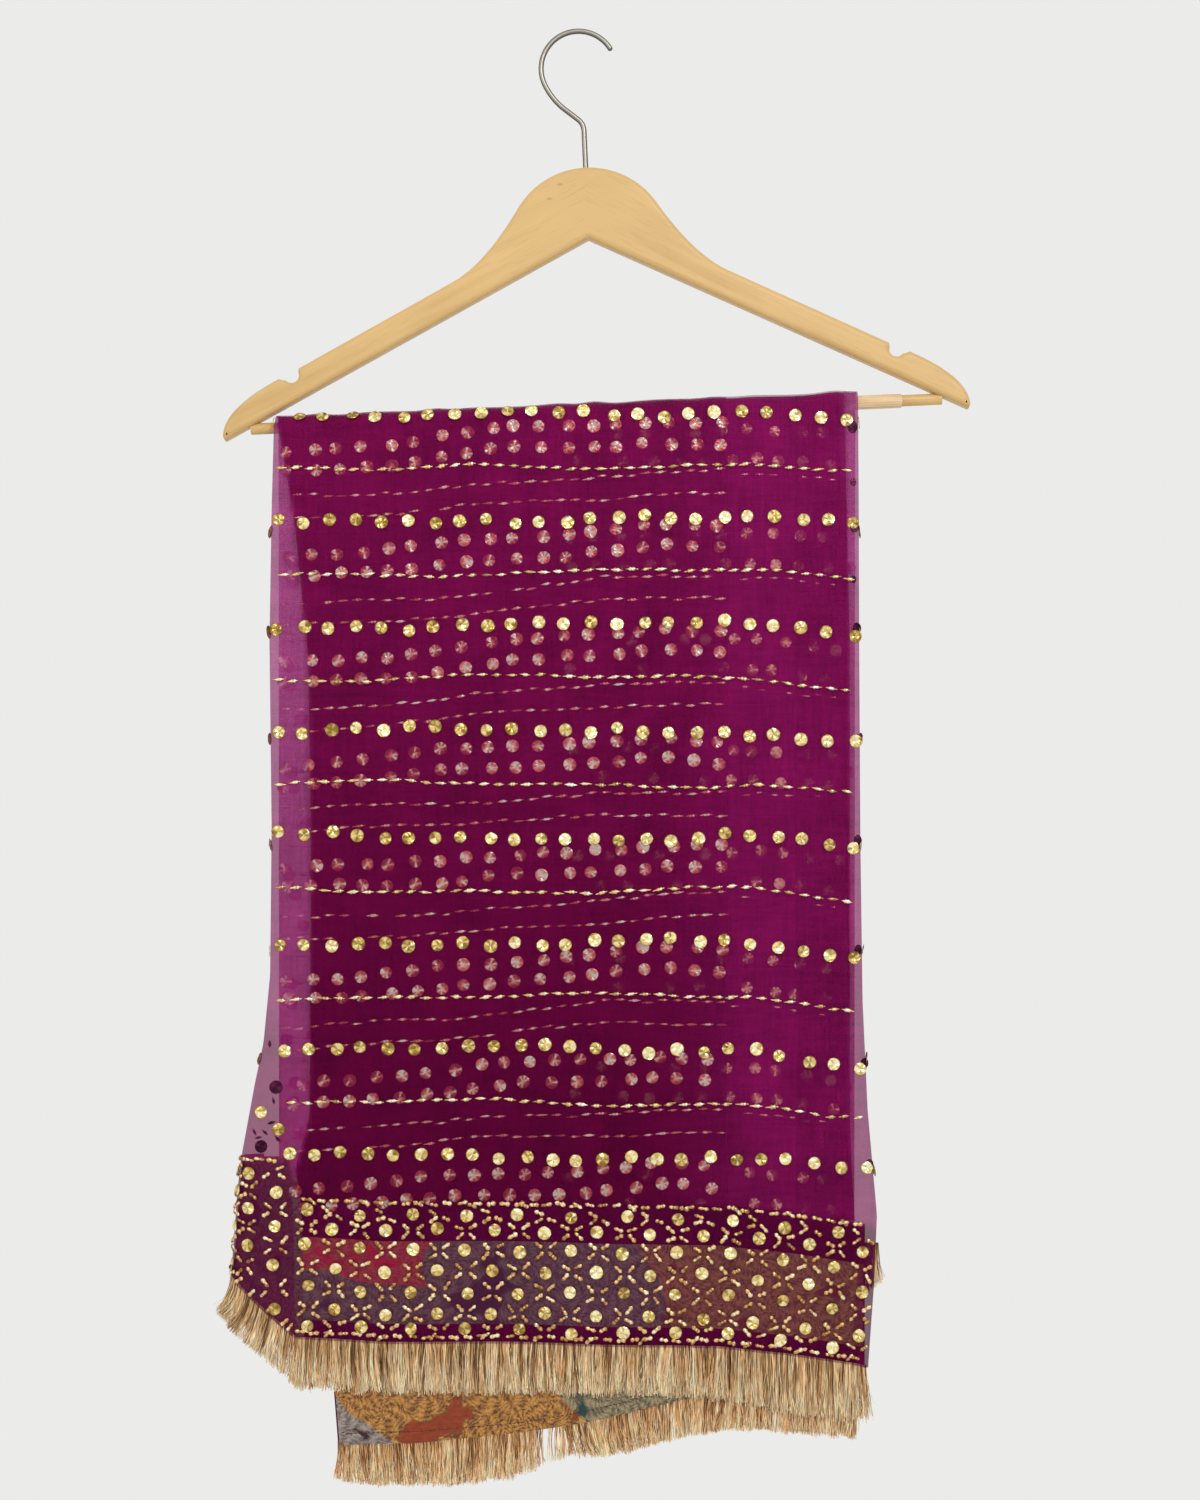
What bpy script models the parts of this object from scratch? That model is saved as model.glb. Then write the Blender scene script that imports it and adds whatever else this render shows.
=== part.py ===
"""Dupatta folded over the bar of a wooden hanger.

Metres, +Z up. X runs along the hanger, -Y is the front, the side that the viewer sees.
The origin is on the inside of the hook's crown, where the hanger is held.
The veil is folded in thirds across its width and in half along its length.
"""

import math

import bmesh
import bpy
import numpy as np
from mathutils import Vector

MM = 0.001

# Gap between touching pieces
SEAM_GAP = 0.3 * MM

# Hanger, in its own frame: u to the right, v up, from the peak of the underside
HANGER_TILT = math.radians(2.5)
HANGER_PEAK = Vector((2.2 * MM, 0.0, -122.5 * MM))
ARM_THICKNESS = 12.0 * MM
ARM_EDGE_ROUND = 2.0 * MM
HEAD_CENTRE_V = -7.0 * MM
HEAD_RADIUS = 49.3 * MM
HEAD_END_ANGLE = math.radians(33)
SHOULDER_SLOPE = math.radians(26.7)
SHOULDER_START = (82.0 * MM, -22.3 * MM)
NECK_CONTROL = (62.2 * MM, -12.3 * MM)
NOTCH_CENTRE = (180.2 * MM, -73.6 * MM)
NOTCH_RADIUS = 4.4 * MM
NOTCH_ANGLES = (math.radians(158), math.radians(318))
TIP_CURVE_START = (188.0 * MM, -75.4 * MM)
TIP_CONTROL = (221.5 * MM, -91.5 * MM)
TIP_END = (222.6 * MM, -108.0 * MM)
TIP_CORNER = (221.4 * MM, -110.6 * MM)

# Round bar between the arms, with a ribbed grip sleeve over it
BAR_DROP = 104.0 * MM
BAR_RADIUS = 3.4 * MM
BAR_HALF_LENGTH = 206.0 * MM
SLEEVE_HALF_LENGTH = 182.0 * MM
SLEEVE_RADIUS = 4.2 * MM
BAR_SIDES = 16
SOCKET_DEPTH = 24.0 * MM
WELD_DISTANCE = 0.01 * MM

# Wire hook
WIRE_RADIUS = 1.55 * MM
HOOK_CENTRE = (-3.9 * MM, -20.4 * MM)
HOOK_RADIUS = 22.3 * MM
HOOK_TIP_ANGLE = 32
HOOK_LEFT_ANGLE = 205
HOOK_THROAT_RADIUS = 40.0 * MM
HOOK_THROAT_ANGLE = 233
HOOK_BEND = (-0.8 * MM, -53.3 * MM)
HOOK_BEND_SETBACK = 4.5 * MM
STEM_SEAT = (0.4 * MM, -80.2 * MM)
STEM_DEPTH = 24.0 * MM

# Cloth walls and the depth of each layer, measured out from the cloth's seat on the bar
WALL = 1.0 * MM
SEAT_RADIUS = 4.6 * MM
OUTER_DEPTH_AT_BAR = 2.4 * MM
OUTER_DEPTH = 4.1 * MM
HIDDEN_DEPTH_AT_BAR = 1.6 * MM
HIDDEN_DEPTH = 3.3 * MM
FRONT_LINING_DEPTH = 2.8 * MM
TAIL_LINING_DEPTH = 1.5 * MM
TAIL_DEPTH = 0.2 * MM
TAIL_FRINGE_DEPTH = 0.9 * MM
LOOSENING_DROP = 60.0 * MM
FOLD_RADIUS = 2.0 * MM
FOLD_TURNS = (90, 45, 0)

# Soft vertical folds, which grow from the bar down to the hem
FOLD_START_DROP = 40.0 * MM
FOLD_FULL_DROP = 560.0 * MM
FRONT_FOLD_HEIGHT = 5.0 * MM
BACK_FOLD_HEIGHT = 6.0 * MM
FRONT_FOLD_PHASE = 0.6
BACK_FOLD_PHASE = 2.1
BROAD_WAVE = 38.0 * MM
NARROW_WAVE = 17.0 * MM
RIPPLE_MIDDLE = 0.5
BROAD_SHARE = 0.3
NARROW_SHARE = 0.2
LINE_STEP = 20.0 * MM
LINE_REACH = 140.0 * MM
EDGE_LINE = 215.0 * MM

# Edges of the folded cloth: share of the fall, left edge, right edge, hidden left edge
FALL_EDGES = (
    (0.00, -184.0, 162.0, -181.0),
    (0.10, -185.6, 162.0, -171.5),
    (0.25, -186.8, 162.5, -163.0),
    (0.45, -184.8, 163.2, -158.5),
    (0.62, -186.0, 164.5, -159.0),
    (0.74, -182.5, 167.5, -160.0),
    (0.85, -177.0, 173.0, -159.0),
    (0.94, -173.5, 170.5, -157.5),
    (1.00, -170.8, 167.8, -157.0),
)
HIDDEN_RIGHT = 156.0

# Shares of the fall where the front and the back have a row of points
FRONT_SHARES = (1.0, 0.94, 0.85, 0.74, 0.62, 0.54, 0.45, 0.35, 0.25, 0.17, 0.10, 0.04, 0.0)
BACK_SHARES = (0.0, 0.05, 0.12, 0.22, 0.34, 0.46, 0.58, 0.70, 0.82, 0.92, 1.0)
HIDDEN_LAST_SHARE = 0.88
HIDDEN_SHARES = (0.82, 0.74, 0.62, 0.45, 0.35, 0.25, 0.17, 0.10, 0.04, 0.0)

# Turns round the bar, from the front over its top; the outer layer's seam lies behind the top
FRONT_TURNS = (-60, -30, 0, 30)
SEAM_TURN = 50
SEAM_STEP = 3
BACK_TURN = 70
HIDDEN_TURNS = (-60, -30, 0, 30, 60)
BOTTOM_TURNS = (45, 90, 135, 180)

# Side edges of the hidden layers: soft ridges, then the one layer that reaches the side fold
RIDGE = 0.8 * MM
REACH_INSET = 3.4 * MM
REACH_ROUND = 0.4 * MM
RIDGE_SHARES = (0.0, 0.17, 0.34, 0.50, 0.66)
REACH_SHARES = (0.70, 0.84, 1.0)
BACK_EDGE_SHARE = 0.3

# Front hem: place along X, height
FRONT_HEM = (
    (-171.0, -774.8),
    (-120.0, -777.9),
    (-20.0, -778.3),
    (80.0, -780.4),
    (120.0, -784.6),
    (168.0, -792.5),
)

# Hem of the second end, which hangs lower: place along X, height, fringe length
TAIL_HEM = (
    (-147.0, -837.6, 17.0),
    (-140.0, -839.0, 20.0),
    (-100.0, -837.8, 26.0),
    (-60.0, -834.4, 28.0),
    (-40.0, -832.2, 27.0),
    (0.0, -825.0, 23.0),
    (20.0, -820.4, 21.0),
    (60.0, -811.5, 26.0),
    (161.0, -806.2, 30.0),
)
TAIL_TOP = (-157.0, 156.0)
TAIL_BOTTOM = (-146.5, 161.0)

# Left flap, where the side fold opens like a cone: height, outline, depth of the curl
FLAP_ROWS = (
    (-600.0, -191.5, 1.5),
    (-625.0, -196.0, 3.0),
    (-670.0, -204.6, 5.5),
    (-703.0, -207.6, 7.0),
    (-740.0, -210.5, 8.0),
    (-775.0, -212.0, 8.5),
)
FLAP_OUTER_HEM = -739.8 * MM
FLAP_BACK_HEM = -728.0 * MM
FLAP_BACK_ANGLE = math.radians(235)
FLAP_START_ANGLE = math.radians(90)
FLAP_START_INSET = 1.4 * MM
FLAP_START_DEPTH = 3.3 * MM
FLAP_PLACE = -175.0 * MM
FLAP_CORNER = -171.0 * MM
FLAP_COLUMNS = 9
FLAP_LEVELS = 8

BACK_FALL = 552.0 * MM
BACK_TURN_DEPTH = 1.6 * MM
BACK_TURN_RADIUS = 2.5 * MM
BACK_TURN_RETURN = 24.0 * MM
HIDDEN_FRONT_END = -706.0 * MM
FRONT_LINING_TOP = -717.0 * MM
FRONT_LINING_BOTTOM = -765.0 * MM
FRONT_LINING_SIDES = (-169.0 * MM, 165.0 * MM)
FRONT_LINING_STEPS = 2
TAIL_STEPS = 4
TAIL_LINING_INSET = 1.0 * MM
TAIL_LINING_START = 4.0 * MM

# Fringe locks
FRONT_LOCKS = 84
TAIL_LOCKS = 76
FLAP_LOCKS = 13
SIDE_LOCKS = 4
FRONT_FRINGE_X = (-169.0 * MM, 167.0 * MM)
TAIL_FRINGE_X = (-146.0 * MM, 160.0 * MM)
STRIP_HEIGHT = 2.6 * MM
STRIP_THICKNESS = 1.1 * MM
LOCK_ROOT_WIDTH = 2.7 * MM
LOCK_TIP_WIDTH = 1.5 * MM
LOCK_TIP_THICKNESS = 0.8 * MM
LOCK_SWAY = 0.7 * MM
SHORTEST_LOCK = 0.97
LOCK_LENGTH_SPREAD = 0.06
FLAP_LEAN = -1.0 * MM
ROUTE_STEP = 0.01
SEEDS = {"front_fringe": 12, "tail_fringe": 11, "flap_fringe": 11, "side_fringe": 11}
FRONT_FRINGE_LENGTH = 30.0 * MM
FLAP_FRINGE_LENGTH = 26.0 * MM
FLAP_FRINGE_REACH = 0.78
FLAP_FRINGE_GAP = 0.6 * MM
SIDE_FRINGE_LENGTH = 33.0 * MM
SIDE_FRINGE_X = (164.5 * MM, 179.0 * MM)
SIDE_FRINGE_TOP = -718.0 * MM
SIDE_FRINGE_Y = -5.8 * MM

# Edges sharper than these are shaded as edges
CLOTH_SHARP_ANGLE = math.radians(50)
WOOD_SHARP_ANGLE = math.radians(40)

# Colours: red, green, blue, roughness, metallic
WOOD = (0.73, 0.46, 0.17, 0.45, 0.0)
GRIP = (0.80, 0.60, 0.32, 0.30, 0.0)
STEEL = (0.62, 0.60, 0.56, 0.28, 1.0)
ORGANZA = (0.20, 0.008, 0.11, 0.50, 0.0)
DEEP_ORGANZA = (0.11, 0.004, 0.06, 0.55, 0.0)
BROCADE = (0.42, 0.13, 0.03, 0.45, 0.2)
FRINGE = (0.62, 0.42, 0.18, 0.35, 0.6)


def clear_scene():
    for obj in list(bpy.data.objects):
        bpy.data.objects.remove(obj)


def make_collection(name):
    group = bpy.data.collections.new(name)
    bpy.context.scene.collection.children.link(group)
    return group


def make_material(name, finish):
    material = bpy.data.materials.new(name)
    material.use_nodes = True
    shader = material.node_tree.nodes["Principled BSDF"]
    red, green, blue, roughness, metallic = finish
    shader.inputs["Base Color"].default_value = (red, green, blue, 1.0)
    shader.inputs["Roughness"].default_value = roughness
    shader.inputs["Metallic"].default_value = metallic
    return material


def add_object(name, data, group, material=None):
    obj = bpy.data.objects.new(name, data)
    group.objects.link(obj)
    if material:
        data.materials.append(material)
    return obj


def mesh_from(name, points, faces):
    """A mesh from points and faces, with every face turned outward."""
    mesh = bpy.data.meshes.new(name)
    mesh.from_pydata([tuple(point) for point in points], [], faces)
    shape = bmesh.new()
    shape.from_mesh(mesh)
    bmesh.ops.recalc_face_normals(shape, faces=shape.faces)
    shape.to_mesh(mesh)
    shape.free()
    mesh.shade_smooth()
    mesh.set_sharp_from_angle(angle=CLOTH_SHARP_ANGLE)
    return mesh


# Hanger


def bezier(start, control, end, count):
    points = []
    for step in range(count + 1):
        t = step / count
        a = (1 - t) ** 2
        b = 2 * t * (1 - t)
        c = t * t
        points.append((a * start[0] + b * control[0] + c * end[0],
                       a * start[1] + b * control[1] + c * end[1]))
    return points


def arc(centre, radius, start, end, count):
    points = []
    for step in range(count + 1):
        angle = start + (end - start) * step / count
        points.append((centre[0] + radius * math.cos(angle), centre[1] + radius * math.sin(angle)))
    return points


def arm_outline():
    """Right half of the hanger's front outline, from the top of the head to the tip."""
    head = arc((0.0, HEAD_CENTRE_V), HEAD_RADIUS, math.radians(90), HEAD_END_ANGLE, 8)
    neck = bezier(head[-1], NECK_CONTROL, SHOULDER_START, 6)
    notch = arc(NOTCH_CENTRE, NOTCH_RADIUS, *NOTCH_ANGLES, 7)
    tip = bezier(TIP_CURVE_START, TIP_CONTROL, TIP_END, 7)
    run = notch[0][0] - SHOULDER_START[0]
    notch_lip = (notch[0][0] - 0.3 * MM, SHOULDER_START[1] - run * math.tan(SHOULDER_SLOPE))
    return head + neck[1:] + [notch_lip] + notch + tip + [TIP_CORNER]


def build_hanger_arms(group, cutters, frame, material):
    right = arm_outline()
    left = [(-u, v) for u, v in reversed(right)]
    outline = left[:-1] + right + [(0.0, 0.0)]
    curve = bpy.data.curves.new("hanger_arms", "CURVE")
    curve.dimensions = "2D"
    curve.fill_mode = "BOTH"
    curve.extrude = ARM_THICKNESS / 2 - ARM_EDGE_ROUND
    curve.bevel_depth = ARM_EDGE_ROUND
    curve.bevel_resolution = 1
    curve.offset = -ARM_EDGE_ROUND
    spline = curve.splines.new("POLY")
    spline.points.add(len(outline) - 1)
    for point, (u, v) in zip(spline.points, outline):
        point.co = (u, v, 0.0, 1.0)
    spline.use_cyclic_u = True
    blank = add_object("hanger_arms_outline", curve, group)
    blank.parent = frame
    blank.rotation_euler = (math.radians(90), 0.0, 0.0)
    bpy.context.view_layer.update()
    evaluated = blank.evaluated_get(bpy.context.evaluated_depsgraph_get())
    mesh = bpy.data.meshes.new_from_object(evaluated)
    shape = bmesh.new()
    shape.from_mesh(mesh)
    bmesh.ops.remove_doubles(shape, verts=shape.verts, dist=WELD_DISTANCE)
    bmesh.ops.recalc_face_normals(shape, faces=shape.faces)
    shape.to_mesh(mesh)
    shape.free()
    mesh.name = "hanger_arms"
    arms = add_object("hanger_arms", mesh, group, material)
    arms.matrix_world = blank.matrix_world.copy()
    bpy.data.objects.remove(blank)
    for index, side in enumerate((-1, 1)):
        bore = add_rod(f"bar_bore_{index}", cutters, frame, BAR_RADIUS + SEAM_GAP, SOCKET_DEPTH)
        bore.location = (side * (BAR_HALF_LENGTH - SOCKET_DEPTH / 2 + SEAM_GAP), 0.0, -BAR_DROP)
        bore.rotation_euler = (0.0, math.radians(90), 0.0)
        cut(arms, bore)
    stem_bore = add_rod("stem_bore", cutters, None, WIRE_RADIUS + SEAM_GAP, STEM_DEPTH * 2)
    stem_bore.location = (STEM_SEAT[0], 0.0, STEM_SEAT[1])
    stem_bore.rotation_euler = (0.0, -HANGER_TILT, 0.0)
    cut(arms, stem_bore)
    mesh.shade_smooth()
    mesh.set_sharp_from_angle(angle=WOOD_SHARP_ANGLE)
    return arms


def add_rod(name, group, frame, radius, length, material=None):
    """A closed cylinder along its own Z."""
    mesh = bpy.data.meshes.new(name)
    shape = bmesh.new()
    bmesh.ops.create_cone(shape, cap_ends=True, segments=BAR_SIDES, radius1=radius, radius2=radius,
                          depth=length)
    shape.to_mesh(mesh)
    shape.free()
    rod = add_object(name, mesh, group, material)
    rod.parent = frame
    return rod


def cut(target, cutter):
    cutter.hide_render = True
    cutter.display_type = "WIRE"
    modifier = target.modifiers.new(cutter.name, "BOOLEAN")
    modifier.operation = "DIFFERENCE"
    modifier.object = cutter


def build_bar(group, frame, material):
    bar = add_rod("hanger_bar", group, frame, BAR_RADIUS, BAR_HALF_LENGTH * 2, material=material)
    bar.location = (0.0, 0.0, -BAR_DROP)
    bar.rotation_euler = (0.0, math.radians(90), 0.0)
    bar.data.shade_smooth()
    bar.data.set_sharp_from_angle(angle=WOOD_SHARP_ANGLE)
    return bar


def build_sleeve(group, frame, material):
    """The grip sleeve: a turned tube, from a profile that runs down its outer side."""
    inner = BAR_RADIUS + SEAM_GAP
    half = SLEEVE_HALF_LENGTH
    profile = [(SLEEVE_RADIUS, half), (SLEEVE_RADIUS, -half), (inner, -half), (inner, half)]
    points = [(x, 0.0, z) for x, z in profile]
    edges = [(0, 1), (1, 2), (2, 3), (3, 0)]
    mesh = bpy.data.meshes.new("bar_sleeve")
    mesh.from_pydata(points, edges, [])
    sleeve = add_object("bar_sleeve", mesh, group, material)
    screw = sleeve.modifiers.new("turn", "SCREW")
    screw.axis = "Z"
    screw.steps = BAR_SIDES
    screw.render_steps = BAR_SIDES
    screw.use_merge_vertices = True
    screw.merge_threshold = WELD_DISTANCE
    sleeve.parent = frame
    sleeve.location = (0.0, 0.0, -BAR_DROP)
    sleeve.rotation_euler = (0.0, math.radians(90), 0.0)
    return sleeve


def rounded_bend(before, corner, after, setback, count):
    """Points along a soft bend that replaces the corner between two straight runs."""
    first = Vector(corner) + (Vector(before) - Vector(corner)).normalized() * setback
    last = Vector(corner) + (Vector(after) - Vector(corner)).normalized() * setback
    return bezier(first, corner, last, count)


def hook_route():
    """The wire's middle line in the X-Z plane, from its tip round the crown to the stem."""
    left = math.radians(HOOK_LEFT_ANGLE)
    crown = arc(HOOK_CENTRE, HOOK_RADIUS, math.radians(HOOK_TIP_ANGLE), left, 17)
    shift = HOOK_THROAT_RADIUS - HOOK_RADIUS
    throat_centre = (HOOK_CENTRE[0] - shift * math.cos(left), HOOK_CENTRE[1] - shift * math.sin(left))
    throat = arc(throat_centre, HOOK_THROAT_RADIUS, left, math.radians(HOOK_THROAT_ANGLE), 4)
    bend = rounded_bend(throat[-1], HOOK_BEND, STEM_SEAT, HOOK_BEND_SETBACK, 5)
    down = (math.sin(HANGER_TILT), -math.cos(HANGER_TILT))
    reach = STEM_DEPTH - SEAM_GAP
    stem_end = (STEM_SEAT[0] + down[0] * reach, STEM_SEAT[1] + down[1] * reach)
    return crown + throat[1:] + bend + [stem_end]


def build_hook(group, material):
    route = hook_route()
    curve = bpy.data.curves.new("hanger_hook", "CURVE")
    curve.dimensions = "3D"
    curve.bevel_depth = WIRE_RADIUS
    curve.bevel_resolution = 2
    curve.use_fill_caps = True
    spline = curve.splines.new("POLY")
    spline.points.add(len(route) - 1)
    for point, (x, z) in zip(spline.points, route):
        point.co = (x, 0.0, z, 1.0)
    return add_object("hanger_hook", curve, group, material)


# Cloth


def bar_height(x):
    """Height of the bar's middle line, which tilts with the hanger."""
    middle_x = HANGER_PEAK.x + BAR_DROP * math.sin(HANGER_TILT)
    middle_z = HANGER_PEAK.z - BAR_DROP * math.cos(HANGER_TILT)
    return middle_z + (x - middle_x) * math.tan(HANGER_TILT)


def column(table, index):
    return [row[index] * MM for row in table]


def fall_edge(share, index):
    """Left, right or hidden left edge at a share of the fall from the bar to the hem."""
    shares = [row[0] for row in FALL_EDGES]
    return float(np.interp(share, shares, column(FALL_EDGES, index)))


def front_hem(x):
    return float(np.interp(x, column(FRONT_HEM, 0), column(FRONT_HEM, 1)))


def tail_hem(x):
    return float(np.interp(x, column(TAIL_HEM, 0), column(TAIL_HEM, 1)))


def fold_lines():
    """Places along X that every layer shares, so that the layers' facets run parallel."""
    count = round(LINE_REACH / LINE_STEP)
    return [step * LINE_STEP for step in range(-count, count + 1)]


def ripple(x, phase):
    """Height of the soft folds, from 0 to 1, straight between the shared lines."""
    places = [-EDGE_LINE] + fold_lines() + [EDGE_LINE]
    heights = []
    for place in places:
        broad = math.sin(place / BROAD_WAVE + phase)
        narrow = math.sin(place / NARROW_WAVE + 2.0 * phase)
        heights.append(RIPPLE_MIDDLE + BROAD_SHARE * broad + NARROW_SHARE * narrow)
    return float(np.interp(x, places, heights))


def fold_height(x, z, phase, full_height):
    drop = bar_height(x) - z
    growth = max(0.0, (drop - FOLD_START_DROP) / (FOLD_FULL_DROP - FOLD_START_DROP))
    return full_height * growth * ripple(x, phase)


def loosened(drop, at_bar, lower):
    """A depth that grows from its value on the bar to its value on the free fall."""
    t = min(1.0, max(0.0, drop / LOOSENING_DROP))
    return at_bar + (lower - at_bar) * t


def front_point(x, z, depth):
    fold = fold_height(x, z, FRONT_FOLD_PHASE, FRONT_FOLD_HEIGHT)
    return Vector((x, -(SEAT_RADIUS + depth) - fold, z))


def back_point(x, z, depth):
    fold = fold_height(x, z, BACK_FOLD_PHASE, BACK_FOLD_HEIGHT)
    return Vector((x, SEAT_RADIUS + depth + fold, z))


def over_point(x, angle, depth):
    """A point on the stretch over the bar: -90 degrees is the front, 90 the back."""
    radius = SEAT_RADIUS + depth
    return Vector((x, radius * math.sin(angle), bar_height(x) + radius * math.cos(angle)))


def roll_places(edge, side):
    """Places round a side edge that rolls in: X, and how far in from the outer layer."""
    places = []
    for turn in FOLD_TURNS:
        angle = math.radians(turn)
        x = edge + side * FOLD_RADIUS * (1 - math.sin(angle))
        places.append((x, FOLD_RADIUS * (1 - math.cos(angle))))
    return places


def rolled_section(left, right):
    """Places across a panel whose side edges roll in."""
    flat = [(x, 0.0) for x in fold_lines()]
    return roll_places(left, 1) + flat + list(reversed(roll_places(right, -1)))


def roll_limit(inset, outer_depth):
    """Keeps the rolled edge off the bar where the layers are thin."""
    return max(outer_depth - inset, WALL / 2)


def over_rows(turns):
    """Rows of the outer layer where it lies on the bar."""
    section = rolled_section(fall_edge(0.0, 1), fall_edge(0.0, 2))
    rows = []
    for turn in turns:
        angle = math.radians(turn)
        row = [over_point(x, angle, roll_limit(inset, OUTER_DEPTH_AT_BAR)) for x, inset in section]
        rows.append(row)
    return rows


def grid_faces(row_count, column_count):
    faces = []
    for row in range(row_count - 1):
        for place in range(column_count - 1):
            corner = row * column_count + place
            faces.append((corner, corner + 1, corner + column_count + 1, corner + column_count))
    return faces


def cloth_wall(name, rows, group, material):
    """A closed cloth wall: an open grid of points, thickened equally to both sides."""
    points = [point for row in rows for point in row]
    mesh = mesh_from(name, points, grid_faces(len(rows), len(rows[0])))
    panel = add_object(name, mesh, group, material)
    solid = panel.modifiers.new("thickness", "SOLIDIFY")
    solid.thickness = WALL
    solid.offset = 0.0
    return panel


def build_front_panel(group, material):
    """The outer layer: from the hem up the front, over the bar, to just behind its top."""
    rows = []
    for share in FRONT_SHARES:
        row = []
        for x, inset in rolled_section(fall_edge(share, 1), fall_edge(share, 2)):
            drop = share * (bar_height(x) - front_hem(x))
            depth = loosened(drop, OUTER_DEPTH_AT_BAR, OUTER_DEPTH)
            row.append(front_point(x, bar_height(x) - drop, roll_limit(inset, depth)))
        rows.append(row)
    rows += over_rows(FRONT_TURNS + (SEAM_TURN,))
    return cloth_wall("front_panel", rows, group, material)


def build_back_panel(group, material):
    """The outer layer down the back and round the fold at the bottom, halfway along the veil."""
    section = rolled_section(fall_edge(0.0, 1), fall_edge(0.0, 2))
    rows = over_rows((SEAM_TURN + SEAM_STEP, BACK_TURN))
    for share in BACK_SHARES:
        drop = share * (BACK_FALL - BACK_TURN_RADIUS)
        depth = loosened(drop, OUTER_DEPTH_AT_BAR, OUTER_DEPTH)
        row = [back_point(x, bar_height(x) - drop, roll_limit(inset, depth)) for x, inset in section]
        rows.append(row)
    for turn in BOTTOM_TURNS:
        angle = math.radians(turn)
        row = []
        for x, inset in section:
            radius = BACK_TURN_RADIUS - inset
            centre_z = bar_height(x) - BACK_FALL + BACK_TURN_RADIUS
            depth = BACK_TURN_DEPTH + radius * math.cos(angle)
            base = back_point(x, centre_z, depth)
            row.append(base - Vector((0.0, 0.0, radius * math.sin(angle))))
        rows.append(row)
    row = []
    for x, inset in section:
        height = bar_height(x) - BACK_FALL + BACK_TURN_RADIUS + BACK_TURN_RETURN
        row.append(back_point(x, height, BACK_TURN_DEPTH - BACK_TURN_RADIUS + inset))
    rows.append(row)
    return cloth_wall("back_panel", rows, group, material)


def layered_edge(outer_x, hidden_x, thickness, side):
    """One edge of the hidden layers: two soft ridges, then the layer that reaches the side fold."""
    ridges = [hidden_x + RIDGE * side * (place % 2) for place in range(len(RIDGE_SHARES))]
    reach = [outer_x - REACH_ROUND * side, outer_x, outer_x - REACH_ROUND * side]
    shares = RIDGE_SHARES + REACH_SHARES
    return [(x, share * thickness) for x, share in zip(ridges + reach, shares)]


def hidden_section(outer_share, hidden_share, thickness):
    """Ring of X and depth round the hidden layers, with their edges at two shares of the fall."""
    left_reach = fall_edge(outer_share, 1) + REACH_INSET
    right_reach = fall_edge(outer_share, 2) - REACH_INSET
    left = layered_edge(left_reach, fall_edge(hidden_share, 3), thickness, -1)
    right = layered_edge(right_reach, HIDDEN_RIGHT * MM, thickness, 1)
    front = [(x, thickness) for x in fold_lines()]
    back = [(x, 0.0) for x in reversed(fold_lines())]
    return left + front + list(reversed(right)) + back


def hidden_front_ring(share, height_at):
    """A ring of the hidden layers at the front; height_at gives its height at a place along X."""
    drop = share * (bar_height(0.0) - front_hem(0.0))
    thickness = loosened(drop, HIDDEN_DEPTH_AT_BAR, HIDDEN_DEPTH)
    return [front_point(x, height_at(x), depth) for x, depth in hidden_section(share, share, thickness)]


def hidden_rings():
    rings = [hidden_front_ring(HIDDEN_LAST_SHARE, lambda x: HIDDEN_FRONT_END)]
    for share in HIDDEN_SHARES:
        rings.append(hidden_front_ring(
            share, lambda x, share=share: bar_height(x) - share * (bar_height(x) - front_hem(x))))
    section = hidden_section(0.0, 0.0, HIDDEN_DEPTH_AT_BAR)
    for turn in HIDDEN_TURNS:
        rings.append([over_point(x, math.radians(turn), depth) for x, depth in section])
    for share in BACK_SHARES:
        drop = share * (BACK_FALL - BACK_TURN_RADIUS - SEAM_GAP)
        thickness = loosened(drop, HIDDEN_DEPTH_AT_BAR, HIDDEN_DEPTH)
        section = hidden_section(0.0, min(share, BACK_EDGE_SHARE), thickness)
        rings.append([back_point(x, bar_height(x) - drop, depth) for x, depth in section])
    return rings


def build_hidden_layers(group, material):
    """The folded layers that nothing shows: one solid from the front, over the bar, to the back."""
    rings = hidden_rings()
    points = [point for ring in rings for point in ring]
    size = len(rings[0])
    faces = []
    for level in range(len(rings) - 1):
        for place in range(size):
            step = (place + 1) % size
            low = level * size
            faces.append((low + place, low + step, low + size + step, low + size + place))
    last = (len(rings) - 1) * size
    faces.append(tuple(range(size)))
    faces.append(tuple(last + place for place in range(size)))
    mesh = mesh_from("hidden_layers", points, faces)
    shape = bmesh.new()
    shape.from_mesh(mesh)
    bmesh.ops.triangulate(shape, faces=[face for face in shape.faces if len(face.verts) > 4])
    shape.to_mesh(mesh)
    shape.free()
    return add_object("hidden_layers", mesh, group, material)


def hanging_rows(left_edge, right_edge, top, bottom, depth, steps):
    """Rows of a flat layer behind the front panel; the edges and the heights are functions."""
    rows = []
    for step in range(steps + 1):
        share = step / steps
        places = [left_edge(share)] + fold_lines() + [right_edge(share)]
        row = []
        for x in places:
            height = top(x) + (bottom(x) - top(x)) * share
            row.append(front_point(x, height, depth))
        rows.append(row)
    return rows


def between(pair_top, pair_bottom, index, share):
    return (pair_top[index] + (pair_bottom[index] - pair_top[index]) * share) * MM


def build_front_lining(group, material):
    """The brocade strip on the wrong side of the front end, behind its lattice border."""
    rows = hanging_rows(
        lambda share: FRONT_LINING_SIDES[0],
        lambda share: FRONT_LINING_SIDES[1],
        lambda x: FRONT_LINING_TOP,
        lambda x: FRONT_LINING_BOTTOM,
        FRONT_LINING_DEPTH, FRONT_LINING_STEPS)
    return cloth_wall("front_lining", rows, group, material)


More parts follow.
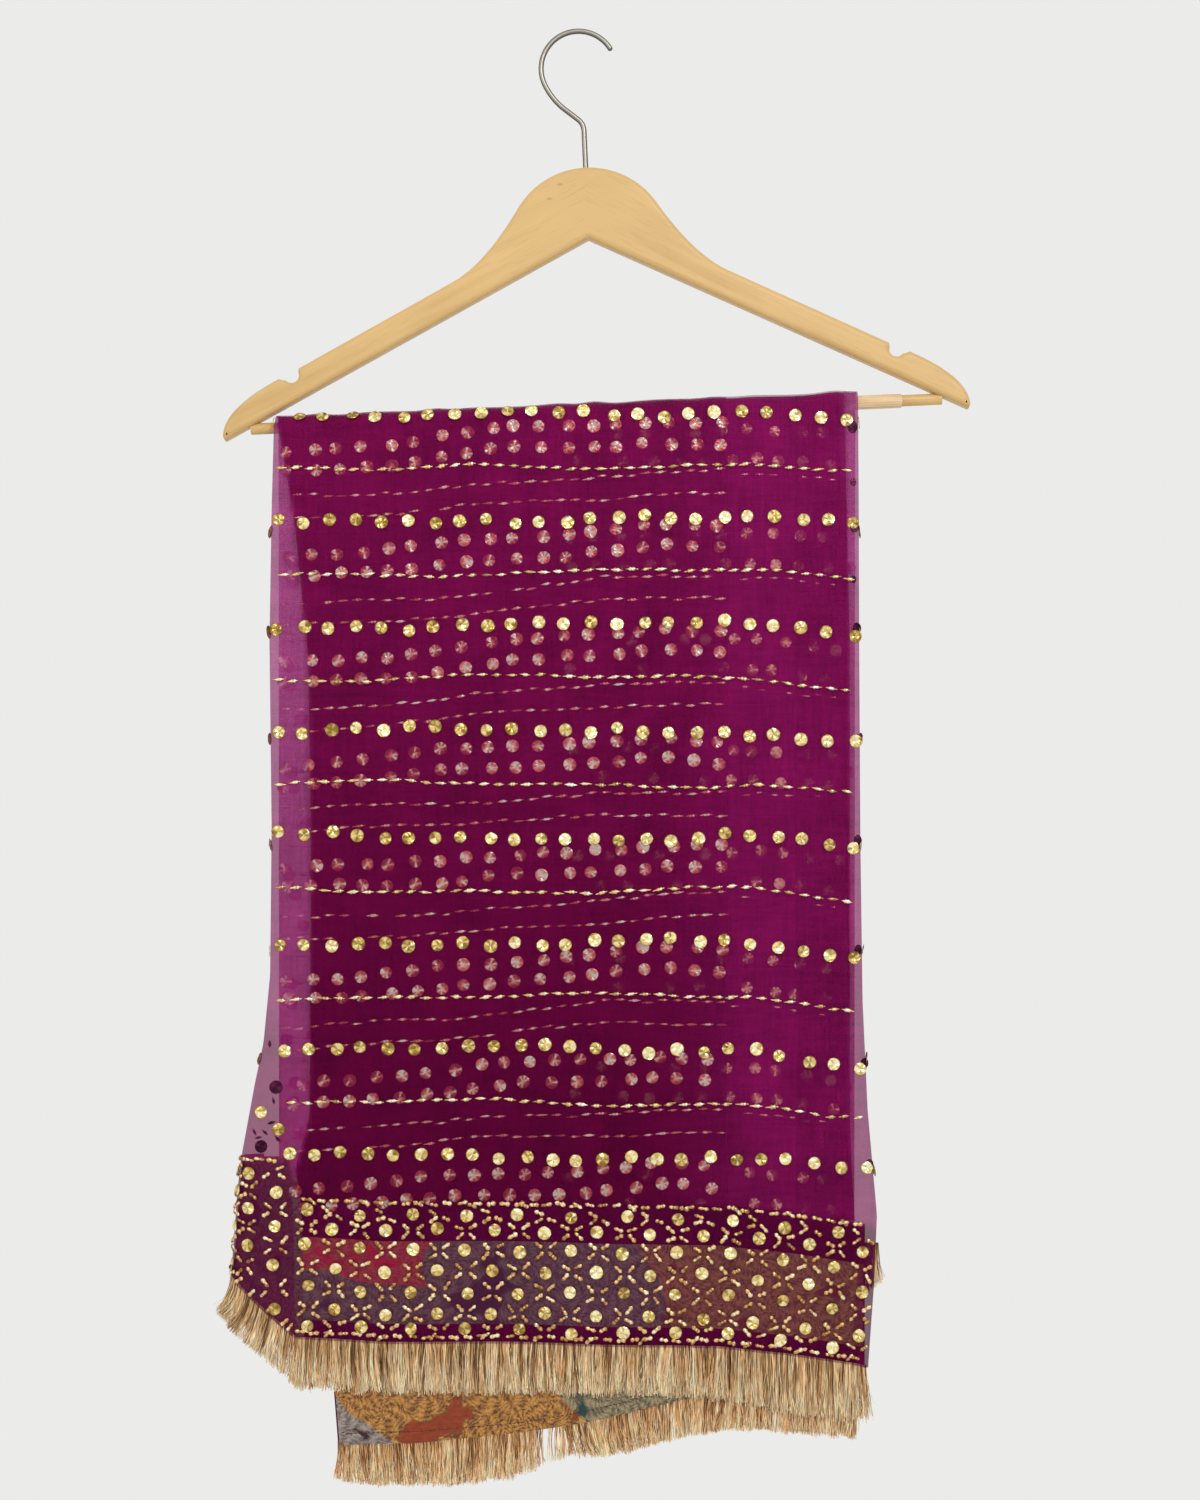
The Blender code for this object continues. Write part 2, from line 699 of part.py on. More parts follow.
def build_tail(group, cloth, brocade):
    """The second end: its wrong side faces forward, with the brocade strip on it."""
    def left(share):
        return between(TAIL_TOP, TAIL_BOTTOM, 0, share)

    def right(share):
        return between(TAIL_TOP, TAIL_BOTTOM, 1, share)

    top = HIDDEN_FRONT_END - SEAM_GAP
    panel_rows = hanging_rows(left, right, lambda x: top, tail_hem, TAIL_DEPTH, TAIL_STEPS)
    cloth_wall("tail_panel", panel_rows, group, cloth)
    strip_rows = hanging_rows(
        lambda share: left(share) + TAIL_LINING_INSET,
        lambda share: right(share) - TAIL_LINING_INSET,
        lambda x: top - TAIL_LINING_START,
        lambda x: tail_hem(x) + TAIL_LINING_INSET,
        TAIL_LINING_DEPTH, TAIL_STEPS)
    cloth_wall("tail_lining", strip_rows, group, brocade)


def flap_value(z, index):
    heights = [-row[0] * MM for row in FLAP_ROWS]
    return float(np.interp(-z, heights, column(FLAP_ROWS, index)))


def panel_left_edge(z):
    """The front panel's left edge at a height."""
    fall = bar_height(FLAP_PLACE) - front_hem(FLAP_PLACE)
    share = (bar_height(FLAP_PLACE) - z) / fall
    return fall_edge(min(1.0, share), 1)


def flap_point(z, angle):
    """A point on the opened side fold: 90 degrees faces front, 180 is its left outline."""
    start = panel_left_edge(z) - FLAP_START_INSET
    width = start - flap_value(z, 1)
    curl = flap_value(z, 2)
    base = front_point(start, z, FLAP_START_DEPTH).y
    x = start + width * math.cos(angle)
    return Vector((x, base + curl - curl * math.sin(angle), z))


def flap_hem(angle):
    """Height of the flap's hem, which climbs to the left and goes on climbing behind."""
    corner = front_hem(FLAP_CORNER)
    if angle <= math.pi:
        return corner - (FLAP_OUTER_HEM - corner) * math.cos(angle)
    share = (angle - math.pi) / (FLAP_BACK_ANGLE - math.pi)
    return FLAP_OUTER_HEM + (FLAP_BACK_HEM - FLAP_OUTER_HEM) * share


def flap_angles():
    span = FLAP_BACK_ANGLE - FLAP_START_ANGLE
    return [FLAP_START_ANGLE + span * step / FLAP_COLUMNS for step in range(FLAP_COLUMNS + 1)]


def build_left_flap(group, material):
    top = FLAP_ROWS[0][0] * MM
    rows = []
    for level in range(FLAP_LEVELS + 1):
        share = level / FLAP_LEVELS
        row = []
        for angle in flap_angles():
            row.append(flap_point(top + (flap_hem(angle) - top) * share, angle))
        rows.append(row)
    return cloth_wall("left_flap", rows, group, material)


# Fringe


def add_fringe(name, route, count, length_at, group, material, lean=0.0):
    """Locks that hang from a narrow strip; route(t) is the strip's top, below the cloth's edge."""
    pick = np.random.default_rng(SEEDS[name])
    front = []
    back = []
    for index in range(count + 1):
        last = index == count
        t = index / count
        here = route(t)
        ahead = route(min(1.0, t + ROUTE_STEP)) - route(max(0.0, t - ROUTE_STEP))
        across = Vector((ahead.x, ahead.y, 0.0)).normalized()
        normal = Vector((across.y, -across.x, 0.0)) * (STRIP_THICKNESS / 2)
        thin = normal * (LOCK_TIP_THICKNESS / STRIP_THICKNESS)
        down = Vector((0.0, 0.0, -STRIP_HEIGHT))
        if last:
            front.append([here + normal, here + normal + down])
            back.append([here - normal, here - normal + down])
            break
        sway = (pick.random() * 2 - 1) * LOCK_SWAY + lean
        length = length_at(t) * (SHORTEST_LOCK + LOCK_LENGTH_SPREAD * pick.random())
        root = here + down
        root_end = root + across * LOCK_ROOT_WIDTH
        side_step = (LOCK_ROOT_WIDTH - LOCK_TIP_WIDTH) / 2
        drop = Vector((0.0, 0.0, -(length - STRIP_HEIGHT)))
        tip = root + across * (side_step + sway) + drop
        tip_end = tip + across * LOCK_TIP_WIDTH
        front.append([here + normal, root + normal, tip + thin, tip_end + thin, root_end + normal])
        back.append([here - normal, root - normal, tip - thin, tip_end - thin, root_end - normal])
    return add_object(name, fringe_mesh(name, front, back), group, material)


def fringe_mesh(name, front, back):
    points = []
    index = {}
    for side, rows in enumerate((front, back)):
        for lock, row in enumerate(rows):
            for place, point in enumerate(row):
                index[side, lock, place] = len(points)
                points.append(point)
    faces = []
    count = len(front) - 1
    for lock in range(count):
        for side in (0, 1):
            strip = [index[side, lock, 0], index[side, lock, 1], index[side, lock, 4],
                     index[side, lock + 1, 1], index[side, lock + 1, 0]]
            faces.append(tuple(strip))
            faces.append(tuple(index[side, lock, place] for place in (1, 2, 3, 4)))
        for near, far in ((1, 2), (2, 3), (3, 4)):
            faces.append((index[0, lock, near], index[0, lock, far],
                          index[1, lock, far], index[1, lock, near]))
        faces.append((index[0, lock, 4], index[0, lock + 1, 1],
                      index[1, lock + 1, 1], index[1, lock, 4]))
        faces.append((index[0, lock, 0], index[0, lock + 1, 0],
                      index[1, lock + 1, 0], index[1, lock, 0]))
    for lock in (0, count):
        faces.append((index[0, lock, 0], index[0, lock, 1], index[1, lock, 1], index[1, lock, 0]))
    return mesh_from(name, points, faces)


def along(points, share):
    """The point at a share of the way through a row of points, straight between them."""
    place = min(share, 0.9999) * (len(points) - 1)
    index = int(place)
    return points[index].lerp(points[index + 1], place - index)


def below(point, gap=SEAM_GAP):
    """The strip's top, parted from the cloth's edge."""
    return point - Vector((0.0, 0.0, gap))


def share_of(span, t):
    return span[0] + (span[1] - span[0]) * t


def build_fringes(group, material):
    def front_route(t):
        x = share_of(FRONT_FRINGE_X, t)
        return below(front_point(x, front_hem(x), OUTER_DEPTH))

    def tail_route(t):
        x = share_of(TAIL_FRINGE_X, t)
        return below(front_point(x, tail_hem(x), TAIL_FRINGE_DEPTH))

    def tail_length(t):
        x = share_of(TAIL_FRINGE_X, t)
        return float(np.interp(x, column(TAIL_HEM, 0), column(TAIL_HEM, 2)))

    flap_edge = [flap_point(flap_hem(angle), angle) for angle in flap_angles()]

    def flap_route(t):
        return below(along(flap_edge, FLAP_FRINGE_REACH * (1 - t)), FLAP_FRINGE_GAP)

    def side_route(t):
        x = share_of(SIDE_FRINGE_X, t)
        fold = fold_height(x, SIDE_FRINGE_TOP, FRONT_FOLD_PHASE, FRONT_FOLD_HEIGHT)
        return Vector((x, SIDE_FRINGE_Y - fold, SIDE_FRINGE_TOP))

    add_fringe("front_fringe", front_route, FRONT_LOCKS, lambda t: FRONT_FRINGE_LENGTH, group, material)
    add_fringe("tail_fringe", tail_route, TAIL_LOCKS, tail_length, group, material)
    add_fringe("flap_fringe", flap_route, FLAP_LOCKS, lambda t: FLAP_FRINGE_LENGTH, group, material,
               lean=FLAP_LEAN)
    add_fringe("side_fringe", side_route, SIDE_LOCKS, lambda t: SIDE_FRINGE_LENGTH, group, material)


def main():
    clear_scene()
    group = make_collection("dupatta_on_hanger")
    cutters = make_collection("cutters")
    wood = make_material("varnished_wood", WOOD)
    grip = make_material("grip_sleeve", GRIP)
    steel = make_material("hook_wire", STEEL)
    organza = make_material("organza", ORGANZA)
    deep = make_material("organza_layers", DEEP_ORGANZA)
    brocade = make_material("brocade", BROCADE)
    fringe = make_material("fringe_thread", FRINGE)
    frame = bpy.data.objects.new("hanger_frame", None)
    group.objects.link(frame)
    frame.location = HANGER_PEAK
    frame.rotation_euler = (0.0, -HANGER_TILT, 0.0)
    bpy.context.view_layer.update()
    build_hanger_arms(group, cutters, frame, wood)
    build_bar(group, frame, wood)
    build_sleeve(group, frame, grip)
    build_hook(group, steel)
    build_front_panel(group, organza)
    build_back_panel(group, organza)
    build_hidden_layers(group, deep)
    build_front_lining(group, brocade)
    build_tail(group, organza, brocade)
    build_left_flap(group, organza)
    build_fringes(group, fringe)


main()
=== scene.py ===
"""Looks of the dupatta on its wooden hanger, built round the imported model.

Metres, in the model's own frame: +Z up, X along the hanger, -Y the front. The origin is on the
inside of the hook's crown. A place on the cloth is given by X and by its way along the cloth from
the top of the bar: positive down the front, negative down the back.
"""

import math
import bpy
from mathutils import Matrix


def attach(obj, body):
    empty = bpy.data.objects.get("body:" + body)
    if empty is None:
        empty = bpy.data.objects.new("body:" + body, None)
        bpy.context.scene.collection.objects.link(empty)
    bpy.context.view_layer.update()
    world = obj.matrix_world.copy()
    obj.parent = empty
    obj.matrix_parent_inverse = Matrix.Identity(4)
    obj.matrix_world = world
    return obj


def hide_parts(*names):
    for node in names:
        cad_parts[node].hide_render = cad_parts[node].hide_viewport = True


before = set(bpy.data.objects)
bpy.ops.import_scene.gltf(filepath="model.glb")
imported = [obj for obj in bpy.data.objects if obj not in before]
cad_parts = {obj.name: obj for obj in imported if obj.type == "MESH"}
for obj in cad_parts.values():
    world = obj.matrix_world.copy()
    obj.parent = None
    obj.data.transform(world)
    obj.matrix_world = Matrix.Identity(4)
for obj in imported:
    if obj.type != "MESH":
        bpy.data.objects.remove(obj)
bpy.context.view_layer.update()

from types import SimpleNamespace

import bpy
import numpy as np
from mathutils import Vector

MM = 0.001
SEED = 41
FULL_TURN = 6.28

# The photograph's frame at the cloth: middle, height and the camera's distance
VIEW_MIDDLE = (8.9 * MM, -426.7 * MM)
VIEW_HEIGHT = 889.5 * MM
CLOTH_PLANE = -7.0 * MM
CAMERA_DISTANCE = 1.25

# Hanger, in its own frame: u to the right, v up, from the peak of the underside
HANGER_TILT = math.radians(2.5)
HANGER_PEAK = (2.2 * MM, -122.5 * MM)
ARM_THICKNESS = 12.0 * MM
ARM_EDGE_ROUND = 3.4 * MM
HEAD_CENTRE_V = -7.0 * MM
HEAD_RADIUS = 49.3 * MM
HEAD_END_ANGLE = math.radians(33)
SHOULDER_SLOPE = math.radians(26.7)
SHOULDER_START = (82.0 * MM, -22.3 * MM)
NECK_CONTROL = (62.2 * MM, -12.3 * MM)
NOTCH_CENTRE = (180.2 * MM, -73.6 * MM)
NOTCH_RADIUS = 4.4 * MM
NOTCH_ANGLES = (math.radians(158), math.radians(318))
TIP_CURVE_START = (188.0 * MM, -75.4 * MM)
TIP_CONTROL = (221.5 * MM, -91.5 * MM)
TIP_END = (222.6 * MM, -108.0 * MM)
TIP_CORNER = (221.4 * MM, -110.6 * MM)

# Bar and its ribbed sleeve
BAR_DROP = 104.0 * MM
SLEEVE_HALF_LENGTH = 182.0 * MM
SLEEVE_RADIUS = 4.2 * MM
SLEEVE_RIBS = 18
SLEEVE_RIB_HEIGHT = 0.25 * MM

# Wire hook
WIRE_RADIUS = 1.55 * MM
HOOK_CENTRE = (-3.9 * MM, -20.4 * MM)
HOOK_RADIUS = 22.3 * MM
HOOK_TIP_ANGLE = math.radians(32)
HOOK_LEFT_ANGLE = math.radians(205)
HOOK_THROAT_RADIUS = 40.0 * MM
HOOK_THROAT_ANGLE = math.radians(233)
HOOK_BEND = (-0.8 * MM, -53.3 * MM)
HOOK_BEND_SETBACK = 4.5 * MM
STEM_SEAT = (0.4 * MM, -80.2 * MM)
STEM_DEPTH = 20.0 * MM

# Layers of cloth: depth outward from the seat on the bar, at the bar and once it hangs free
SEAT_RADIUS = 4.6 * MM
OUTER_DEPTH_AT_BAR = 2.4 * MM
OUTER_DEPTH = 4.1 * MM
LOOSENING_DROP = 60.0 * MM
QUARTER_TURN = 11.0 * MM

# How far each layer lies in from the outer one, once it hangs free
WING_INSET = 0.9 * MM
RETURN_INSET = 1.6 * MM
LAYERS_INSET = 1.9 * MM
LAYERS_BACK_INSET = 4.0 * MM
FRONT_BROCADE_INSET = 1.1 * MM
BACKING_INSET = 1.6 * MM
TAIL_BROCADE_INSET = 2.6 * MM
TAIL_INSET = 3.9 * MM

# Soft vertical folds, which grow from the bar down to the hem
FOLD_START_DROP = 40.0 * MM
FOLD_FULL_DROP = 560.0 * MM
FRONT_FOLD_HEIGHT = 5.0 * MM
BACK_FOLD_HEIGHT = 6.0 * MM
FOLD_WAVES = (38.0 * MM, 17.0 * MM)
FRONT_PHASE = 0.6
BACK_PHASE = 2.1

# Left edge at the front: height, outline, crease where the face begins, depth of the curl
LEFT_EDGE = (
    (-215.0, -184.0, -181.5, 0.45),
    (-281.0, -185.6, -182.8, 0.45),
    (-363.0, -186.8, -183.6, 0.45),
    (-473.0, -185.4, -182.2, 0.45),
    (-560.0, -186.2, -182.8, 0.60),
    (-600.0, -190.2, -180.8, 1.50),
    (-625.0, -195.6, -179.0, 3.00),
    (-670.0, -204.2, -176.0, 5.50),
    (-690.0, -206.4, -173.0, 6.40),
    (-703.0, -207.4, -172.2, 7.00),
    (-740.0, -210.3, -171.8, 8.00),
    (-776.0, -211.8, -171.2, 8.50),
)

# Right edge at the front: height, outline
RIGHT_EDGE = (
    (-215.0, 162.0),
    (-365.0, 162.5),
    (-480.0, 163.2),
    (-575.0, 164.5),
    (-640.0, 167.5),
    (-702.0, 173.0),
    (-740.0, 171.5),
    (-792.0, 167.8),
)

# Side edges of the hidden layers: drop, left X, right X
HIDDEN_EDGES = (
    (0.0, -181.0, 153.0),
    (56.0, -171.5, 154.0),
    (140.0, -163.0, 156.0),
    (250.0, -161.5, 156.0),
    (415.0, -162.0, 156.0),
    (445.0, -170.0, 157.0),
    (480.0, -173.5, 159.0),
    (560.0, -173.5, 159.0),
)
BACK_LEFT = -184.0 * MM
BACK_EDGE_DROP = 250.0 * MM
BACK_RIGHT = 162.0 * MM

# Hems: place along X, height
FRONT_HEM = (
    (-171.0, -774.8),
    (-120.0, -777.9),
    (-20.0, -778.3),
    (80.0, -780.4),
    (120.0, -784.6),
    (168.0, -792.5),
)
TAIL_HEM = (
    (-147.0, -837.6),
    (-140.0, -839.0),
    (-100.0, -837.8),
    (-60.0, -834.4),
    (-40.0, -832.2),
    (0.0, -825.0),
    (20.0, -820.4),
    (60.0, -811.5),
    (161.0, -806.2),
)
TAIL_LEFT = (-157.0 * MM, -146.5 * MM)
TAIL_RIGHT = (156.0 * MM, 161.0 * MM)
LAYERS_FRONT_END = -706.0 * MM
WING_END = 84.0 * MM
WING_JOIN = -161.0 * MM
WING_HEM = -704.0 * MM
WING_JOIN_HEM = -708.0 * MM
FLAP_OUTER_HEM = -739.8 * MM
FLAP_BACK_HEM = -728.0 * MM
FLAP_BACK_ANGLE = math.radians(235)
RETURN_END = 125.0 * MM
RETURN_END_HEM = -756.0 * MM
ROLL_RADIUS = 2.2 * MM

BACK_FALL = 552.0 * MM
TURN_CENTRE_DEPTH = 1.45 * MM
TURN_RADIUS = 2.65 * MM
TURN_RETURN = 24.0 * MM

# Creases: X, height, lean from upright in degrees, half length, half width, depth
FRONT_CREASES = (
    (-160.0, -330.0, 3.0, 90.0, 5.0, 0.55),
    (-98.0, -290.0, -7.0, 62.0, 7.0, -0.45),
    (-31.0, -270.0, 5.0, 46.0, 4.5, 0.60),
    (26.0, -318.0, -4.0, 80.0, 9.0, -0.50),
    (84.0, -420.0, 2.0, 170.0, 4.0, 0.45),
    (128.0, -352.0, -6.0, 96.0, 8.0, 0.55),
    (-122.0, -520.0, 8.0, 105.0, 8.0, 0.60),
    (-48.0, -472.0, -11.0, 84.0, 6.5, -0.55),
    (38.0, -560.0, 6.0, 92.0, 9.0, 0.75),
    (112.0, -585.0, -14.0, 88.0, 7.0, -0.80),
    (142.0, -650.0, 24.0, 66.0, 6.0, 0.95),
    (88.0, -662.0, 62.0, 58.0, 7.5, 0.70),
    (-84.0, -655.0, -5.0, 72.0, 7.0, 0.60),
    (-6.0, -690.0, 12.0, 60.0, 6.0, -0.55),
    (60.0, -745.0, -16.0, 38.0, 6.0, 0.60),
    (-130.0, -735.0, 9.0, 42.0, 6.0, 0.65),
)
BACK_CREASES = (
    (-120.0, -340.0, -5.0, 95.0, 7.0, 0.60),
    (-52.0, -300.0, 6.0, 60.0, 5.5, -0.55),
    (12.0, -420.0, -3.0, 120.0, 8.0, 0.65),
    (70.0, -330.0, 8.0, 74.0, 6.0, 0.60),
    (118.0, -520.0, -9.0, 110.0, 8.0, -0.75),
    (-88.0, -560.0, 11.0, 90.0, 7.0, 0.80),
    (-20.0, -640.0, -14.0, 72.0, 7.5, 0.80),
    (62.0, -690.0, 19.0, 64.0, 6.5, 0.75),
    (132.0, -700.0, -22.0, 50.0, 6.0, 0.70),
    (-128.0, -700.0, -8.0, 54.0, 6.0, -0.60),
)
CREASE_STRENGTH = 1.35
PUCKER_HEIGHT = 0.85 * MM
PUCKER_DROP = 30.0 * MM
PUCKER_WAVES = (5.3 * MM, 13.0 * MM)

# Rows of sequins, with a row of thread dashes halfway between
FIRST_ROW = -226.5 * MM
ROW_PITCH = 62.9 * MM
FRONT_ROWS = 8
BACK_ROWS = 8
SEQUIN_STEP = 15.5 * MM
SEQUIN_RADIUS = 3.9 * MM
DASH_STEP = 8.6 * MM
DASH_LENGTH = 7.2 * MM
DASH_WIDTH = 2.5 * MM
DASH_HEIGHT = 2.2 * MM

# How a row departs from level: height, length, turn from row to row and start of each wave, then
# the dips at the right and at the upper left, each with its depth, start and width
ROW_WAVES = ((1.5 * MM, 52.0 * MM, 1.9, 0.4), (0.8 * MM, 21.0 * MM, 3.1, 0.0))
RIGHT_DIP = (9.0 * MM, 92.0 * MM, 78.0 * MM)
LEFT_DIP = (3.6 * MM, 55.0 * MM, 60.0 * MM)

# Rows of the wing behind the face, which show through it: place along X, drop below the face's row
NEAR_SEQUINS = ((-176.0, 21.0), (-139.0, 18.4), (-82.0, 13.0), (-50.0, 10.4), (-19.0, 8.6), (10.0, 6.6),
                (42.0, 4.0), (84.0, 4.6))
FAR_SEQUINS = ((-176.0, 32.0), (-131.0, 30.2), (-74.0, 25.0), (-44.0, 22.0), (-15.0, 21.0), (18.0, 18.6),
               (45.0, 15.8), (84.0, 18.0))
NEAR_DASHES = ((-176.0, 17.0), (-139.0, 15.0), (-87.0, 13.3), (-40.0, 9.6), (-6.0, 6.5), (9.0, 4.6),
               (84.0, 2.8))
FAR_DASHES = ((-176.0, 30.0), (-139.0, 28.0), (-92.0, 25.2), (-43.0, 21.6), (-5.0, 18.8), (45.0, 16.8),
              (84.0, 16.5))

# Rows of the layers deeper still, in the same way
MIDDLE_SEQUINS = ((-200.0, 12.0), (200.0, 9.0))
DEEP_SEQUINS = ((-200.0, 29.0), (200.0, 27.0))
DEEP_DASHES = ((-200.0, 9.0), (200.0, 4.0))
DEEP_START = -10.0 * MM
GHOST_STEP = 15.1 * MM

# Lattice border: heights of the sequin rows above the hem, and the diamonds' width
BORDER_HEIGHT = 83.0 * MM
BORDER_FOOT = 4.6 * MM
BORDER_ROWS = (8.2 * MM, 18.0 * MM, 30.8 * MM, 43.2 * MM, 55.6 * MM, 67.2 * MM, 76.0 * MM)
DIAMOND_WIDTH = 30.8 * MM
BORDER_PHASE = 7.5 * MM
FRONT_BORDER_WIDTH = RIGHT_EDGE[-1][1] * MM - ROLL_RADIUS - FRONT_HEM[0][0] * MM
TAIL_BORDER_WIDTH = TAIL_RIGHT[1] - TAIL_LEFT[1]
LATTICE_DASH = 6.0 * MM
LATTICE_DASH_WIDTH = 2.9 * MM
EDGE_DASH_STEP = 8.2 * MM
BROCADE_TOP = 60.5 * MM
BROCADE_FOOT = 11.5 * MM
FLAP_GIRTH = 26.0 * MM
FLAP_WIDTH = FLAP_GIRTH * math.radians(110)
FLAP_BORDER_TOP = -667.0 * MM
FLAP_ROWS = (88.0 * MM, 99.0 * MM)
FLAP_LATTICE_TOP = 106.0 * MM
TAIL_LATTICE_TOP = 66.0 * MM
TAIL_SEAM_ABOVE = 7.0 * MM
TAIL_SEAM_STEP = 2.6 * MM

# Single sequins and stitches: X, height and, on the right side fold, size
FLAP_SEQUINS = ((-191.4, -640.6), (-181.0, -650.8))
FLAP_BACKS = ((-182.6, -625.9), (-191.4, -661.0))
RIGHT_BACKS = ((158.6, -235.2, 1.0), (158.9, -268.1, 0.6), (159.5, -294.4, 0.9), (158.9, -325.6, 0.6),
               (161.0, -354.7, 0.9), (161.5, -420.5, 0.8), (161.5, -480.0, 0.8), (161.8, -545.0, 0.8),
               (165.5, -612.0, 0.8), (168.5, -672.0, 0.8))
FLAP_STITCHES = ((-185.2, -646.9), (-195.4, -652.6), (-189.2, -652.6), (-181.6, -656.5), (-186.3, -600.4),
                 (-193.0, -655.8), (-184.0, -634.0))

# Fringe
FRINGE_TUCK = 1.2 * MM
FRONT_FRINGE_LENGTHS = ((-171.0, 30.5), (-57.0, 30.3), (0.0, 30.0), (36.0, 28.5), (82.0, 31.3), (117.0, 35.0),
                        (164.0, 33.5))
FLAP_FRINGE_LENGTH = 27.0 * MM
SIDE_FRINGE_LENGTH = 30.0 * MM
TAIL_FRINGE_LENGTHS = ((-147.0, 22.0), (-110.0, 26.0), (-60.0, 28.0), (-40.0, 26.0), (-10.0, 19.0),
                       (0.0, 22.5), (24.0, 24.0), (59.0, 22.5), (87.0, 20.0), (109.0, 21.5), (135.0, 26.0),
                       (161.0, 30.0))
SIDE_FRINGE_LEFT = 165.0 * MM
SIDE_FRINGE_TOP = -719.0 * MM
SIDE_FRINGE_WIDTH = 9.0 * MM
FRONT_STRANDS_PER_MM = 14.5
TAIL_STRANDS_PER_MM = 14.0
FLAP_STRANDS_PER_MM = 19.0
SIDE_STRANDS_PER_MM = 12.0
STRAND_RADIUS = 0.26 * MM
STRAND_STATIONS = 6
CLUMP_STEP = 3.4 * MM
LOCK_STEP = 0.85 * MM

# Columns of points in each stretch across the veil, and rows of points down it and the layers inside
COLUMNS = {"wing": 44, "join": 8, "curl": 22, "face": 124, "roll": 8, "return": 8}
VEIL_FRONT_ROWS = 136
VEIL_TOP_ROWS = 16
VEIL_BACK_ROWS = 120
LAYER_FRONT_ROWS = 110
LAYER_TOP_ROWS = 14
LAYER_BACK_ROWS = 80

# Shapes of each kind to pick from
SEQUIN_SHAPES = 14
DASH_SHAPES = 10

# Colours
FACE_ALPHA = 0.38
STRIP_ALPHA = 0.62
FACE_COLOUR = (0.175, 0.0030, 0.062)
FACE_LOW_COLOUR = (0.092, 0.0006, 0.026)
FACE_RIGHT_COLOUR = (0.205, 0.0045, 0.082)
# Painted backlight: the plum is lighter where few layers hang, as light comes through from behind, and in the
# open side fold
BACKLIT_COLOUR = (0.31, 0.045, 0.19)
BACKLIT_LOW_COLOUR = (0.24, 0.012, 0.12)
FLAP_BACKLIT_COLOUR = (0.23, 0.012, 0.105)
BORDER_COLOUR = (0.088, 0.0012, 0.032)
BACKING_COLOUR = (0.060, 0.0008, 0.022)
RIGHT_DIM = 0.82
# Painted shade: the hidden layers are darker, as less light reaches them from behind
LAYERS_PAINTED_SHADE = 0.85
DARK_DROP = 520.0 * MM
RIGHT_TONE_START = 30.0 * MM
RIGHT_TONE_WIDTH = 80.0 * MM
TONE_EDGE = 3.0 * MM
FLAP_TONE_HEIGHT = -575.0 * MM
WEAVE_PERIOD = 1.3 * MM
WOOD_COLOUR = (0.60, 0.385, 0.145)
WOOD_MARKS = ((-14.8 * MM, -91.0 * MM), (-21.3 * MM, -99.6 * MM))
WOOD_MARK_SIZE = (2.4 * MM, 0.9 * MM)
WOOD_MARK_COLOUR = (0.22, 0.15, 0.07)
PORE_COLOUR = (0.36, 0.21, 0.08)
# Painted reflection on the wire, from its dark flanks to its bright front and back
HOOK_REFLECTION_TONES = ((0.1, (0.055, 0.049, 0.038)), (0.55, (0.17, 0.156, 0.13)), (0.95, (0.37, 0.345, 0.295)))
SLEEVE_TONES = ((0.3, (0.62, 0.40, 0.19)), (0.7, (0.78, 0.58, 0.34)))
FLOOR_TONES = ((0.3, (0.80, 0.80, 0.795)), (0.7, (0.82, 0.82, 0.815)))
LEAF_REACH = 0.97
LEAF_EDGE = 0.04
SLUB_COLOUR = (0.02, 0.004, 0.004)
BLACK = (0.0, 0.0, 0.0)
PALE_STAGE = (0.83, 0.83, 0.825)
FLOOR_HEIGHT = -1.6
FLOOR_RADIUS = 1.9
FLOOR_SIDES = 96

# Lights: name, place, target, size, power
LIGHTS = (
    ("key", (0.7, -1.9, 0.75), (0.0, 0.0, -0.4), 0.7, 17.0),
    ("fill", (-1.3, -1.4, 0.3), (0.0, 0.0, -0.45), 0.9, 5.0),
    ("rim", (0.2, 1.7, 0.1), (0.0, 0.0, -0.4), 1.5, 3.5),
)

# Brocade patches: left and right X, lowest height, then the ground and the thread's deep and pale
# tones. PAST lies beyond every edge. A later patch lies over the ones before it.
PAST = 9.0
TAIL_PATCHES = (
    (-PAST, PAST, -PAST, (0.045, 0.004, 0.014), (0.12, 0.08, 0.075), (0.40, 0.33, 0.29)),
    (-1.046, PAST, -PAST, (0.34, 0.045, 0.005), (0.11, 0.032, 0.006), (0.62, 0.29, 0.060)),
    (-0.916, PAST, -PAST, (0.004, 0.060, 0.056), (0.08, 0.065, 0.035), (0.38, 0.30, 0.17)),
)
FRONT_PATCHES = (
    (-PAST, PAST, -PAST, (0.035, 0.014, 0.055), (0.05, 0.03, 0.045), (0.22, 0.15, 0.15)),
    (-PAST, -0.278, -0.726, (0.80, 0.004, 0.045), (0.42, 0.010, 0.035), (0.58, 0.09, 0.07)),
    (-0.159, PAST, -PAST, (0.24, 0.022, 0.014), (0.12, 0.035, 0.02), (0.44, 0.17, 0.07)),
)
FLAP_PATCHES = (
    (-PAST, PAST, -PAST, (0.030, 0.003, 0.018), (0.05, 0.012, 0.025), (0.20, 0.11, 0.11)),
)
TAIL_PATCH_LEAN = 1.15
FRONT_PATCH_LEAN = 0.30

